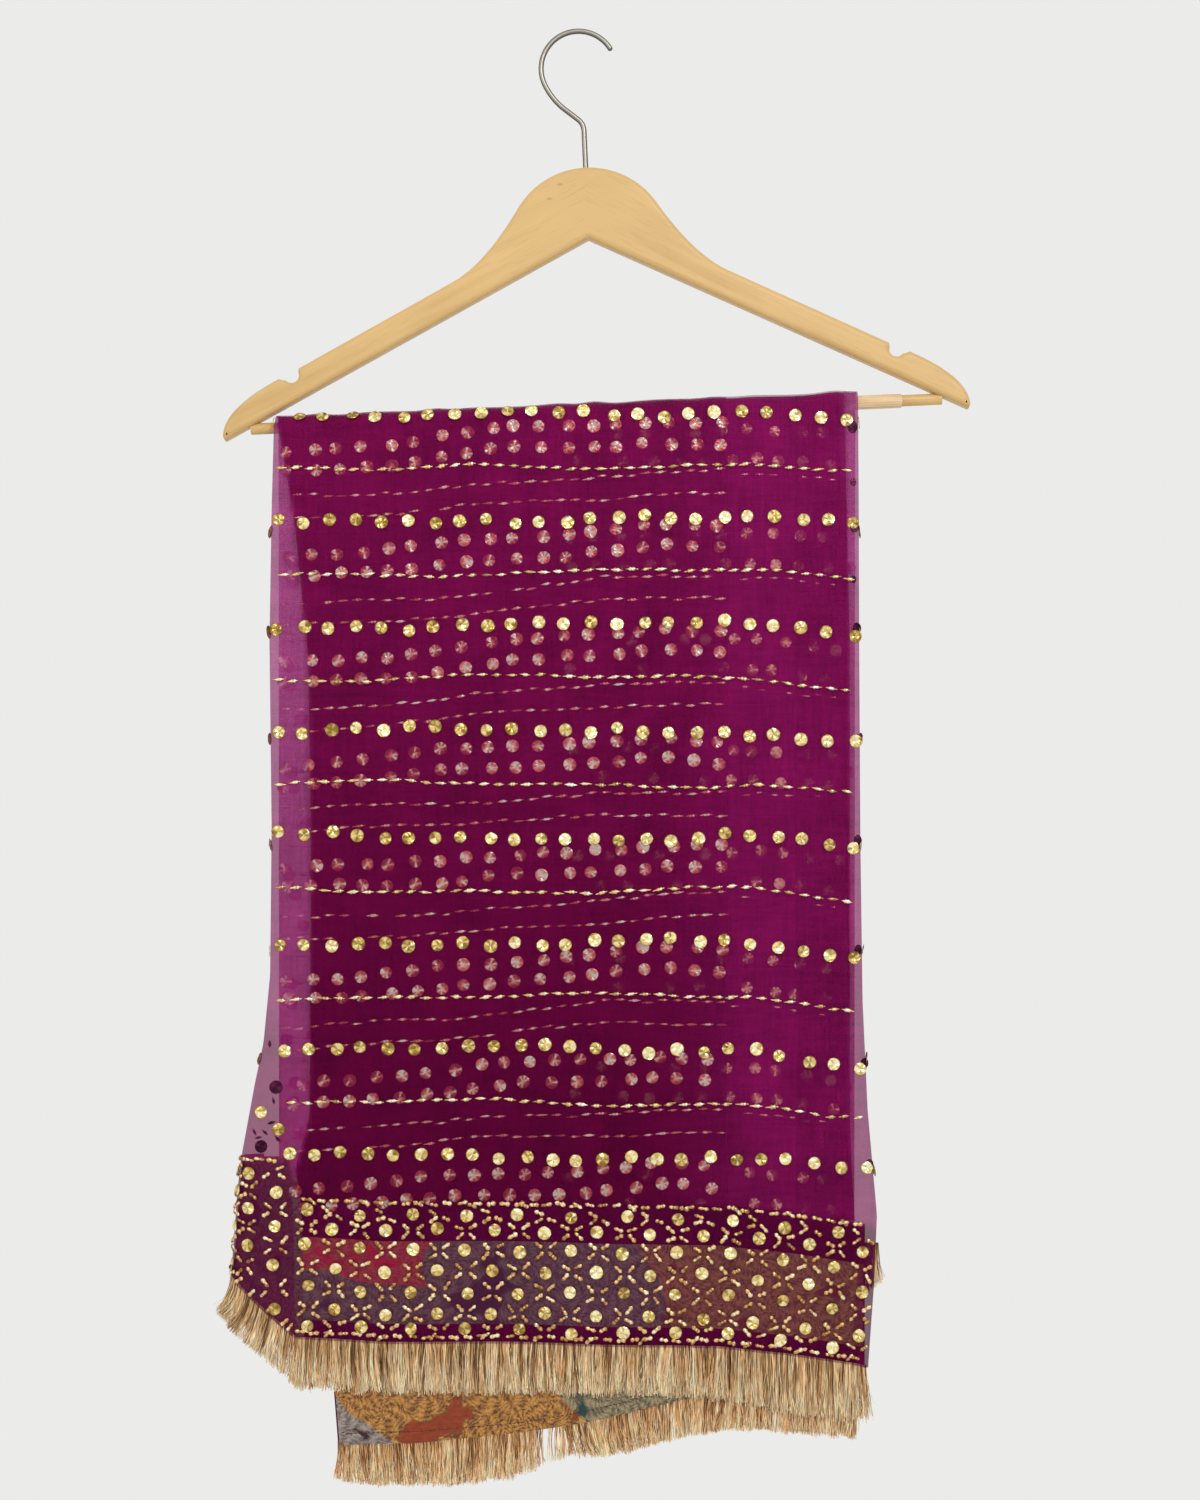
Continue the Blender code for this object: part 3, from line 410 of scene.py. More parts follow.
# Foil and thread tones, from deep to bright. Where a piece lies between them is partly painted light, painted
# highlights and shade on its creases, facets and strands, and partly random tone
GOLD_TONES = ((0.27, 0.155, 0.03), (0.83, 0.60, 0.195), (1.0, 0.93, 0.60))
THREAD_TONES = ((0.34, 0.18, 0.05), (0.90, 0.63, 0.28), (1.0, 0.95, 0.76))
BEAD_TONES = ((0.24, 0.10, 0.028), (0.80, 0.46, 0.17), (1.0, 0.90, 0.62))
VEILED_TONES = ((0.30, 0.022, 0.045), (0.95, 0.25, 0.17), (1.0, 0.95, 0.80))
DEEP_TONES = ((0.24, 0.012, 0.06), (0.42, 0.05, 0.09), (0.95, 0.45, 0.36))
# Painted shade: backs of sequins and stitches, dark because they are lit from behind
SHADE_TONES = ((0.030, 0.002, 0.014), (0.065, 0.006, 0.032), (0.15, 0.018, 0.07))
YARN_TONES = ((0.11, 0.048, 0.014), (0.80, 0.44, 0.17), (1.0, 0.90, 0.62))
TAIL_YARN_TONES = ((0.13, 0.052, 0.013), (0.84, 0.43, 0.155), (1.0, 0.88, 0.57))
SEAM_TONES = ((0.05, 0.012, 0.004), (0.11, 0.035, 0.012), (0.2, 0.08, 0.03))


def smooth(t):
    t = np.clip(t, 0.0, 1.0)
    return t * t * (3.0 - 2.0 * t)


def read_table(table, place, index):
    """A value between a table's rows; the table is in millimetres, the result in metres."""
    places = np.array([row[0] for row in table]) * MM
    values = np.array([row[index] for row in table]) * MM
    if places[0] > places[-1]:
        places, values = places[::-1], values[::-1]
    return np.interp(place, places, values)


# Cloth surfaces


def on_hanger(u, v):
    """X and height of a place in the hanger's own tilted frame."""
    cos_tilt, sin_tilt = math.cos(HANGER_TILT), math.sin(HANGER_TILT)
    return HANGER_PEAK[0] + u * cos_tilt - v * sin_tilt, HANGER_PEAK[1] + u * sin_tilt + v * cos_tilt


def bar_height(x):
    """Height of the bar's middle line at a place along X."""
    middle_x, middle_z = on_hanger(0.0, -BAR_DROP)
    return middle_z + (x - middle_x) * math.tan(HANGER_TILT)


def soft_folds(x, drop, phase, height):
    """Depth of the broad vertical folds."""
    growth = np.clip((drop - FOLD_START_DROP) / (FOLD_FULL_DROP - FOLD_START_DROP), 0.0, None)
    broad, narrow = FOLD_WAVES
    ripple = 0.5 + 0.3 * np.sin(x / broad + phase) + 0.2 * np.sin(x / narrow + 2.0 * phase)
    return height * growth * ripple


def creases(x, z, table):
    """Depth of the listed creases at a place on the cloth."""
    total = np.zeros_like(np.asarray(x) + np.asarray(z))
    for crease_x, crease_z, lean, half_length, half_width, depth in table:
        angle = math.radians(lean)
        dx = x - crease_x * MM
        dz = z - crease_z * MM
        along = dx * math.sin(angle) + dz * math.cos(angle)
        across = dx * math.cos(angle) - dz * math.sin(angle)
        bend = 0.12 * half_length * MM * (along / (half_length * MM)) ** 2
        fade = np.clip(1.0 - (along / (half_length * MM)) ** 2, 0.0, 1.0) ** 2
        total = total + depth * MM * fade * np.exp(-((across - bend) / (half_width * MM)) ** 2)
    return CREASE_STRENGTH * total


def puckers(x, drop):
    """Tiny gathers where the cloth turns over the bar."""
    short, long = PUCKER_WAVES
    fade = np.clip(1.0 - drop / PUCKER_DROP, 0.0, 1.0)
    patch = 0.4 + 0.6 * smooth(0.5 + 0.5 * np.sin(x / (23.0 * MM) + 0.7))
    wave = 0.6 * np.sin(x / short + 1.3 * np.sin(x / long)) + 0.4 * np.sin(x / long + 2.0)
    return PUCKER_HEIGHT * fade * patch * wave


def cloth_point(x, way, inset=0.0):
    """A point on a layer: X, the way along the cloth, and how far the layer lies inside."""
    x, way, inset = np.broadcast_arrays(np.asarray(x, float), np.asarray(way, float), inset)
    drop = np.clip(np.abs(way) - QUARTER_TURN, 0.0, None)
    loose = np.clip(drop / LOOSENING_DROP, 0.0, 1.0)
    depth = OUTER_DEPTH_AT_BAR + (OUTER_DEPTH - OUTER_DEPTH_AT_BAR) * loose
    depth = depth - inset * np.where(inset > LAYERS_BACK_INSET, 1.0, 0.5 + 0.5 * loose)
    z_free = bar_height(x) - drop
    front = way >= 0.0
    fold = np.where(front,
                    soft_folds(x, drop, FRONT_PHASE, FRONT_FOLD_HEIGHT) + creases(x, z_free, FRONT_CREASES),
                    soft_folds(x, drop, BACK_PHASE, BACK_FOLD_HEIGHT) + creases(x, z_free, BACK_CREASES))
    radius = SEAT_RADIUS + depth + puckers(x, drop) + fold * (drop > 0.0)
    angle = np.clip(way / QUARTER_TURN, -1.0, 1.0) * math.pi / 2
    y = -radius * np.sin(angle)
    z = np.where(drop > 0.0, z_free, bar_height(x) + radius * np.cos(angle))
    return np.stack([x, y, z], axis=-1)


def way_at(x, z):
    """The way along the cloth to a height at the front."""
    return QUARTER_TURN + bar_height(x) - z


def front_hem(x):
    return read_table(FRONT_HEM, x, 1)


def tail_hem(x):
    return read_table(TAIL_HEM, x, 1)


def flap_hem(angle):
    """Height of the flap's hem, which climbs to the left and goes on climbing behind."""
    corner = FRONT_HEM[0][1] * MM
    outer = corner - (FLAP_OUTER_HEM - corner) * np.cos(angle)
    share = (angle - math.pi) / (FLAP_BACK_ANGLE - math.pi)
    behind = FLAP_OUTER_HEM + (FLAP_BACK_HEM - FLAP_OUTER_HEM) * share
    return np.where(angle <= math.pi, outer, behind)


def round_curl(crease, width, curl, angle):
    """X and inset at an angle round a side fold: 90 degrees meets the face, 180 is the outline."""
    return crease + width * np.cos(angle), curl * (1.0 - np.sin(angle))


def curl_place(angle, z):
    """X and inset on the left side fold."""
    crease = read_table(LEFT_EDGE, z, 2)
    return round_curl(crease, crease - read_table(LEFT_EDGE, z, 1), read_table(LEFT_EDGE, z, 3), angle)


def curl_end(z):
    """Where the side fold's arc ends: all the way round above, part of the way in the open flap."""
    share = smooth((-z - 560.0 * MM) / (80.0 * MM))
    return math.radians(270) + (FLAP_BACK_ANGLE - math.radians(270)) * share


def right_edge(z):
    return read_table(RIGHT_EDGE, z, 1)


def hidden_left(drop):
    return read_table(HIDDEN_EDGES, drop, 1)


def hidden_right(drop):
    return read_table(HIDDEN_EDGES, drop, 2)


def flap_point(angle, z):
    x, inset = curl_place(angle, z)
    return cloth_point(x, way_at(x, z), inset)


# Mesh helpers


def add_mesh(name, points, faces, materials, picks=None, smooth_faces=True):
    """A mesh in the scene that rides on the part's body; picks gives each face its material."""
    mesh = bpy.data.meshes.new(name)
    mesh.from_pydata(np.asarray(points).reshape(-1, 3).tolist(), [], [tuple(map(int, f)) for f in faces])
    for material in materials:
        mesh.materials.append(material)
    if picks is not None:
        mesh.polygons.foreach_set("material_index", np.asarray(picks, np.int32))
    if smooth_faces:
        mesh.shade_smooth()
    mesh.update()
    obj = bpy.data.objects.new(name, mesh)
    bpy.context.scene.collection.objects.link(obj)
    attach(obj, "root")
    return obj


def paint(obj, colours, name="tone"):
    """Stores a colour for each point, which the material reads."""
    attribute = obj.data.color_attributes.new(name, "FLOAT_COLOR", "POINT")
    colours = np.asarray(colours, np.float32).reshape(-1, 3)
    full = np.concatenate([colours, np.ones((len(colours), 1), np.float32)], axis=1)
    attribute.data.foreach_set("color", full.ravel())


def grid_faces(rows, columns, closed=False):
    """Faces of a grid of points, which joins up across its columns if it is closed."""
    across = columns if closed else columns - 1
    row, column = np.meshgrid(np.arange(rows - 1), np.arange(across), indexing="ij")
    corner = (row * columns + column).ravel()
    side = (row * columns + (column + 1) % columns).ravel()
    return np.stack([corner, side, side + columns, corner + columns], axis=1)


def closed_faces(rows, columns):
    """Faces of a tube made of rings, with a cap on each end."""
    faces = [tuple(face) for face in grid_faces(rows, columns, closed=True)]
    last = (rows - 1) * columns
    return faces + [tuple(range(columns))[::-1], tuple(range(last, last + columns))]


def tube(points, radii, sides):
    """Points and faces of a closed tube along a route in the X-Z plane."""
    points = np.asarray(points, float)
    ahead = np.gradient(points, axis=0)
    ahead /= np.linalg.norm(ahead, axis=1, keepdims=True)
    across = np.stack([-ahead[:, 2], np.zeros(len(ahead)), ahead[:, 0]], axis=1)
    turn = np.linspace(0.0, 2.0 * math.pi, sides, endpoint=False)
    sideways = np.cos(turn)[None, :, None] * radii[:, None, None]
    forward = np.sin(turn)[None, :, None] * radii[:, None, None]
    rings = points[:, None, :] + across[:, None, :] * sideways + np.array([0.0, 1.0, 0.0]) * forward
    return rings.reshape(-1, 3), closed_faces(len(points), sides)


def bezier(start, control, end, count):
    t = np.linspace(0.0, 1.0, count + 1)[:, None]
    start, control, end = (np.asarray(p, float) for p in (start, control, end))
    return (1 - t) ** 2 * start + 2 * t * (1 - t) * control + t ** 2 * end


def arc(centre, radius, start, end, count):
    angle = np.linspace(start, end, count + 1)
    return np.stack([centre[0] + radius * np.cos(angle), centre[1] + radius * np.sin(angle)], axis=1)


# Material helpers


def new_material(name, roughness=0.5, metallic=0.0):
    material = bpy.data.materials.new(name)
    material.use_nodes = True
    shader = material.node_tree.nodes["Principled BSDF"]
    shader.inputs["Roughness"].default_value = roughness
    shader.inputs["Metallic"].default_value = metallic
    return material, material.node_tree, shader


def add_node(tree, kind, settings=None, **inputs):
    """A shader node; an input is named by its socket, or by _ and its number, and may be a link."""
    node = tree.nodes.new(kind)
    for key, value in (settings or {}).items():
        setattr(node, key, value)
    for key, value in inputs.items():
        socket = node.inputs[int(key[1:])] if key[0] == "_" else node.inputs[key]
        if isinstance(value, bpy.types.NodeSocket):
            tree.links.new(value, socket)
        else:
            socket.default_value = value
    return node


def mapped(tree, vector, scale=(1.0, 1.0, 1.0), turn=(0.0, 0.0, 0.0)):
    node = add_node(tree, "ShaderNodeMapping", Vector=vector, Scale=scale, Rotation=turn)
    return node.outputs["Vector"]


def place(tree, scale=(1.0, 1.0, 1.0), turn=(0.0, 0.0, 0.0)):
    """The object's own coordinates, in metres, scaled and turned."""
    return mapped(tree, add_node(tree, "ShaderNodeTexCoord").outputs["Object"], scale, turn)


def noise(tree, vector, scale, detail=3.0, roughness=0.5):
    settings = {"Vector": vector, "Scale": scale, "Detail": detail, "Roughness": roughness}
    return add_node(tree, "ShaderNodeTexNoise", **settings).outputs["Fac"]


def calc(tree, operation, first, second=0.0, third=0.0):
    node = add_node(tree, "ShaderNodeMath", {"operation": operation}, _0=first, _1=second, _2=third)
    return node.outputs[0]


def remap(tree, value, low, high, out_low=0.0, out_high=1.0):
    node = add_node(tree, "ShaderNodeMapRange", Value=value)
    for key, number in (("From Min", low), ("From Max", high), ("To Min", out_low), ("To Max", out_high)):
        node.inputs[key].default_value = number
    return node.outputs["Result"]


def ramp(tree, value, stops):
    node = add_node(tree, "ShaderNodeValToRGB", Fac=value)
    elements = node.color_ramp.elements
    while len(elements) < len(stops):
        elements.new(0.5)
    for element, (position, colour) in zip(elements, stops):
        element.position = position
        element.color = (*colour, 1.0)
    return node.outputs["Color"]


def mix(tree, share, first, second):
    """A colour between two."""
    node = add_node(tree, "ShaderNodeMix", {"data_type": "RGBA"})
    for socket, value in ((node.inputs[0], share), (node.inputs[6], first), (node.inputs[7], second)):
        if isinstance(value, bpy.types.NodeSocket):
            tree.links.new(value, socket)
        else:
            socket.default_value = value if isinstance(value, float) else (*value, 1.0)
    return node.outputs[2]


def bump(tree, shader, height, distance, strength=1.0):
    node = add_node(tree, "ShaderNodeBump", Height=height, Distance=distance, Strength=strength)
    tree.links.new(node.outputs["Normal"], shader.inputs["Normal"])


def stripes(tree, vector, axis, period):
    """Fine parallel threads, from 0 to 1."""
    parts = add_node(tree, "ShaderNodeSeparateXYZ", Vector=vector)
    phase = calc(tree, "MULTIPLY", parts.outputs[axis], 2.0 * math.pi / period)
    return calc(tree, "MULTIPLY_ADD", calc(tree, "SINE", phase), 0.5, 0.5)


def shade_tone(tree, shader, shade):
    """Colours the shader with the tone painted on the mesh, made lighter or darker by a shade."""
    tone = add_node(tree, "ShaderNodeVertexColor", {"layer_name": "tone"}).outputs["Color"]
    colour = add_node(tree, "ShaderNodeVectorMath", {"operation": "SCALE"}, _0=tone)
    tree.links.new(shade, colour.inputs["Scale"])
    tree.links.new(colour.outputs["Vector"], shader.inputs["Base Color"])


def set_inputs(shader, values):
    for name, value in values.items():
        shader.inputs[name].default_value = value


# Materials


def organza_material(name, alpha):
    """Sheer plain weave: slubs along both threads, a crisp sheen and small crinkles."""
    material, tree, shader = new_material(name, roughness=0.42)
    weft = noise(tree, place(tree, (60.0, 60.0, 900.0)), 1.0, 2.0)
    warp = noise(tree, place(tree, (900.0, 60.0, 60.0)), 1.0, 2.0)
    grain = noise(tree, place(tree), 620.0, 2.0)
    slubs = calc(tree, "MULTIPLY_ADD", grain, 0.8, calc(tree, "ADD", weft, warp))
    mottle = noise(tree, place(tree), 38.0, 4.0)
    slub_shade = remap(tree, slubs, 1.0, 1.8, -0.26, 0.26)
    shade_tone(tree, shader, calc(tree, "ADD", slub_shade, remap(tree, mottle, 0.3, 0.7, 0.84, 1.16)))
    crinkle = noise(tree, place(tree, (1.0, 1.0, 0.55)), 95.0, 5.0, 0.6)
    threads = calc(tree, "ADD", stripes(tree, place(tree), 0, WEAVE_PERIOD),
                   stripes(tree, place(tree), 2, WEAVE_PERIOD))
    bump(tree, shader, calc(tree, "ADD", crinkle, calc(tree, "MULTIPLY", threads, 0.06)), 1.1 * MM)
    set_inputs(shader, {"Alpha": alpha, "Sheen Weight": 0.10, "Sheen Roughness": 0.4,
                        "Sheen Tint": (1.0, 0.08, 0.5, 1.0), "Specular IOR Level": 0.35,
                        "Specular Tint": (1.0, 0.06, 0.45, 1.0)})
    return material


def toned_material(name, roughness, metallic, grain_scale, grain_depth, contrast):
    """Metal foil or thread in the tone of each piece, with fine uneven grain."""
    material, tree, shader = new_material(name, roughness=roughness, metallic=metallic)
    grain = noise(tree, place(tree, grain_scale), 1.0, 2.0)
    shade_tone(tree, shader, remap(tree, grain, 0.3, 0.7, 1.0 - contrast, 1.0 + contrast))
    bump(tree, shader, grain, grain_depth, 0.7)
    return material


def mark_distance(tree, parts, mark):
    """Squared distance from a small mark in the wood, which is an ellipse of radius 1."""
    squares = []
    for axis, centre, size in zip("XZ", mark, WOOD_MARK_SIZE):
        away = calc(tree, "DIVIDE", calc(tree, "SUBTRACT", parts.outputs[axis], centre), size)
        squares.append(calc(tree, "MULTIPLY", away, away))
    return calc(tree, "ADD", *squares)


def wood_material():
    """Pale close-grained wood under clear varnish; the grain runs along each arm."""
    material, tree, shader = new_material("varnished_wood", roughness=0.5)
    parts = add_node(tree, "ShaderNodeSeparateXYZ", Vector=place(tree))
    side = calc(tree, "SIGN", parts.outputs["X"])
    outward = calc(tree, "ABSOLUTE", parts.outputs["X"])
    folded = add_node(tree, "ShaderNodeCombineXYZ", X=outward, Y=parts.outputs["Y"], Z=parts.outputs["Z"])
    turned = mapped(tree, folded.outputs[0], turn=(0.0, -SHOULDER_SLOPE, 0.0))
    offset = add_node(tree, "ShaderNodeCombineXYZ", X=side, Y=0.0, Z=side)
    shifted = add_node(tree, "ShaderNodeVectorMath", {"operation": "ADD"}, _0=turned, _1=offset.outputs[0])
    bands = noise(tree, mapped(tree, shifted.outputs[0], (9.0, 60.0, 170.0)), 1.0, 4.0, 0.55)
    pores = noise(tree, mapped(tree, shifted.outputs[0], (60.0, 400.0, 1500.0)), 1.0, 2.0)
    broad = noise(tree, place(tree), 14.0, 2.0)
    bands = mix(tree, remap(tree, outward, 0.01, 0.05), (0.5, 0.5, 0.5), bands)
    share = calc(tree, "ADD", calc(tree, "MULTIPLY", bands, 0.65), calc(tree, "MULTIPLY", broad, 0.45))
    light = tuple(channel * 1.12 for channel in WOOD_COLOUR)
    dark = tuple(channel * dim for channel, dim in zip(WOOD_COLOUR, (0.84, 0.78, 0.66)))
    colour = ramp(tree, share, ((0.30, dark), (0.52, WOOD_COLOUR), (0.78, light)))
    for mark in WOOD_MARKS:
        away = calc(tree, "ADD", mark_distance(tree, parts, mark), pores)
        colour = mix(tree, remap(tree, away, 0.5, 1.5, 0.55, 0.0), colour, WOOD_MARK_COLOUR)
    colour = mix(tree, remap(tree, pores, 0.58, 0.72, 0.0, 0.28), colour, PORE_COLOUR)
    tree.links.new(colour, shader.inputs["Base Color"])
    bump(tree, shader, pores, 0.06 * MM, 0.4)
    set_inputs(shader, {"Coat Weight": 0.15, "Coat Roughness": 0.35})
    return material


def sleeve_material():
    """Clear ribbed sleeve over pale wood."""
    material, tree, shader = new_material("grip_sleeve", roughness=0.22)
    haze = noise(tree, place(tree, (40.0, 200.0, 200.0)), 1.0, 3.0)
    tree.links.new(ramp(tree, haze, SLEEVE_TONES), shader.inputs["Base Color"])
    bump(tree, shader, haze, 0.1 * MM, 0.4)
    set_inputs(shader, {"Coat Weight": 0.6, "Coat Roughness": 0.1})
    return material


def steel_material():
    """Bright wire, with drawn lines and a painted reflection: darker flanks, lighter where it faces front or
    back.
    """
    material, tree, shader = new_material("nickel_wire", roughness=0.38, metallic=1.0)
    drawn = noise(tree, place(tree, (300.0, 900.0, 300.0)), 1.0, 2.0)
    # Painted reflection: lighter where the wire faces front or back
    normal = add_node(tree, "ShaderNodeTexCoord").outputs["Normal"]
    facing = calc(tree, "ABSOLUTE", add_node(tree, "ShaderNodeSeparateXYZ", Vector=normal).outputs["Y"])
    tone = calc(tree, "MULTIPLY_ADD", drawn, 0.2, remap(tree, facing, 0.35, 0.98, 0.0, 0.8))
    tree.links.new(ramp(tree, tone, HOOK_REFLECTION_TONES), shader.inputs["Base Color"])
    return material


def patch_colours(tree, flat, drift, lean, patches):
    """The ground, deep and pale colours of the patch that covers a place."""
    across = calc(tree, "MULTIPLY_ADD", flat.outputs["Z"], lean, flat.outputs["X"])
    across = calc(tree, "MULTIPLY_ADD", drift, 0.06, across)
    height = calc(tree, "MULTIPLY_ADD", drift, 0.03, flat.outputs["Z"])
    colours = [BLACK, BLACK, BLACK]
    for left, right, low, *patch in patches:
        inside = calc(tree, "MULTIPLY", calc(tree, "GREATER_THAN", across, left),
                      calc(tree, "LESS_THAN", across, right))
        inside = calc(tree, "MULTIPLY", inside, calc(tree, "GREATER_THAN", height, low))
        colours = [mix(tree, inside, under, over) for under, over in zip(colours, patch)]
    return colours


def bloom_pattern(tree, page):
    """Feathery blooms: the rough distance from a bloom's middle, and its plumes from 0 to 1."""
    wander = add_node(tree, "ShaderNodeTexNoise", Vector=page, Scale=120.0, Detail=2.0)
    bent = add_node(tree, "ShaderNodeVectorMath", {"operation": "MULTIPLY_ADD"}, _0=wander.outputs["Color"],
                    _1=(0.009, 0.009, 0.0), _2=page).outputs[0]
    blooms = add_node(tree, "ShaderNodeTexVoronoi", {"voronoi_dimensions": "2D"}, Vector=bent, Scale=40.0)
    reach = add_node(tree, "ShaderNodeVectorMath", {"operation": "SUBTRACT"}, _0=bent,
                     _1=blooms.outputs["Position"])
    spoke = add_node(tree, "ShaderNodeSeparateXYZ", Vector=reach.outputs[0])
    turn = calc(tree, "ARCTAN2", spoke.outputs["Y"], spoke.outputs["X"])
    radius = blooms.outputs["Distance"]
    waves = []
    for growth, arms in ((7.0, 9.0), (62.0, 4.0)):
        phase = calc(tree, "MULTIPLY_ADD", radius, growth, calc(tree, "MULTIPLY", turn, arms))
        waves.append(calc(tree, "SINE", phase))
    scrolls = calc(tree, "MULTIPLY_ADD", waves[0], 0.26, calc(tree, "MULTIPLY_ADD", waves[1], 0.20, 0.5))
    return calc(tree, "MULTIPLY_ADD", noise(tree, page, 150.0, 3.0), 0.5, radius), scrolls


def brocade_material(name, patches, lean):
    """Jacquard in sewn patches: feathery blooms in metallic thread on a coloured ground."""
    material, tree, shader = new_material(name, roughness=0.42, metallic=0.3)
    flat = add_node(tree, "ShaderNodeSeparateXYZ", Vector=place(tree))
    page = add_node(tree, "ShaderNodeCombineXYZ", X=flat.outputs["X"], Y=flat.outputs["Z"], Z=0.0).outputs[0]
    ground, deep, pale = patch_colours(tree, flat, noise(tree, page, 16.0, 1.0), lean, patches)
    rough, scrolls = bloom_pattern(tree, page)
    leaf = remap(tree, rough, LEAF_REACH + LEAF_EDGE, LEAF_REACH)
    rim = remap(tree, calc(tree, "ABSOLUTE", calc(tree, "SUBTRACT", rough, LEAF_REACH)), 0.0, 0.035)
    # Pale thread on the scrolls: partly the brocade's pattern, partly painted glitter of the metallic thread
    glitter = remap(tree, noise(tree, place(tree), 1100.0, 2.0), 0.3, 0.7, -0.3, 0.3)
    floss_and_glitter = calc(tree, "MULTIPLY", calc(tree, "ADD", scrolls, glitter), rim)
    slub = remap(tree, noise(tree, place(tree, (1.0, 1.0, 2.6)), 260.0, 3.0), 0.3, 0.7, 0.0, 0.42)
    colour = mix(tree, leaf, mix(tree, slub, ground, SLUB_COLOUR), mix(tree, floss_and_glitter, deep, pale))
    twill = stripes(tree, place(tree, turn=(0.0, math.radians(32), 0.0)), 0, 0.85 * MM)
    colour = mix(tree, calc(tree, "MULTIPLY", twill, 0.22), colour, BLACK)
    tree.links.new(colour, shader.inputs["Base Color"])
    relief = calc(tree, "MULTIPLY_ADD", twill, 0.25, calc(tree, "MULTIPLY", leaf, floss_and_glitter))
    bump(tree, shader, relief, 0.35 * MM, 0.8)
    return material


# Hanger


def arm_outline():
    """Right half of the hanger's front outline, from the top of the head to the tip."""
    head = arc((0.0, HEAD_CENTRE_V), HEAD_RADIUS, math.radians(90), HEAD_END_ANGLE, 28)
    neck = bezier(head[-1], NECK_CONTROL, SHOULDER_START, 16)
    notch = arc(NOTCH_CENTRE, NOTCH_RADIUS, *NOTCH_ANGLES, 16)
    tip = bezier(TIP_CURVE_START, TIP_CONTROL, TIP_END, 18)
    run = notch[0][0] - SHOULDER_START[0]
    notch_lip = (notch[0][0] - 0.3 * MM, SHOULDER_START[1] - run * math.tan(SHOULDER_SLOPE))
    return np.concatenate([head, neck[1:], [notch_lip], notch, tip, [TIP_CORNER]])


def rounded_plate(outline):
    """A flat plate with rounded edges, as a mesh in its own plane."""
    curve = bpy.data.curves.new("arms_outline", "CURVE")
    curve.dimensions = "2D"
    curve.fill_mode = "BOTH"
    curve.extrude = ARM_THICKNESS / 2 - ARM_EDGE_ROUND
    curve.bevel_depth = ARM_EDGE_ROUND
    curve.bevel_resolution = 5
    curve.offset = -ARM_EDGE_ROUND
    spline = curve.splines.new("POLY")
    spline.points.add(len(outline) - 1)
    for point, (u, v) in zip(spline.points, outline):
        point.co = (u, v, 0.0, 1.0)
    spline.use_cyclic_u = True
    blank = bpy.data.objects.new("arms_outline", curve)
    bpy.context.scene.collection.objects.link(blank)
    bpy.context.view_layer.update()
    mesh = bpy.data.meshes.new_from_object(blank.evaluated_get(bpy.context.evaluated_depsgraph_get()))
    bpy.data.objects.remove(blank)
    return mesh


def build_arms(material):
    right = arm_outline()
    left = right[::-1] * np.array([-1.0, 1.0])
    plate = rounded_plate(np.concatenate([left[:-1], right, [(0.0, 0.0)]]))
    flat = np.empty(len(plate.vertices) * 3)
    plate.vertices.foreach_get("co", flat)
    u, v, w = flat.reshape(-1, 3).T
    x, z = on_hanger(u, v)
    faces = [tuple(polygon.vertices) for polygon in plate.polygons]
    bpy.data.meshes.remove(plate)
    arms = add_mesh("wooden_arms", np.stack([x, -w, z], axis=1), faces, [material])
    weld = arms.modifiers.new("weld", "WELD")
    weld.merge_threshold = 0.01 * MM
    arms.modifiers.new("even_shading", "WEIGHTED_NORMAL")
    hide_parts("hanger_arms")


def build_sleeve(material):
    """The ribbed sleeve: a ring with ribs, swept along the bar and narrowed at both ends."""
    turn = np.linspace(0.0, 2.0 * math.pi, SLEEVE_RIBS * 6, endpoint=False)
    radius = SLEEVE_RADIUS - SLEEVE_RIB_HEIGHT * (0.5 + 0.5 * np.cos(turn * SLEEVE_RIBS))
    inner = SLEEVE_HALF_LENGTH - 0.4 * MM
    rings = []
    for u, size in ((-SLEEVE_HALF_LENGTH, 0.9), (-inner, 1.0), (inner, 1.0), (SLEEVE_HALF_LENGTH, 0.9)):
        x, z = on_hanger(u, radius * size * np.sin(turn) - BAR_DROP)
        rings.append(np.stack([x, radius * size * np.cos(turn), z], axis=1))
    count = len(turn)
    faces = [tuple(face) for face in grid_faces(len(rings), count, closed=True)]
    faces += [tuple(range(count)), tuple(range(3 * count, 4 * count))[::-1]]
    sleeve = add_mesh("ribbed_sleeve", np.concatenate(rings), faces, [material])
    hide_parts("bar_sleeve")


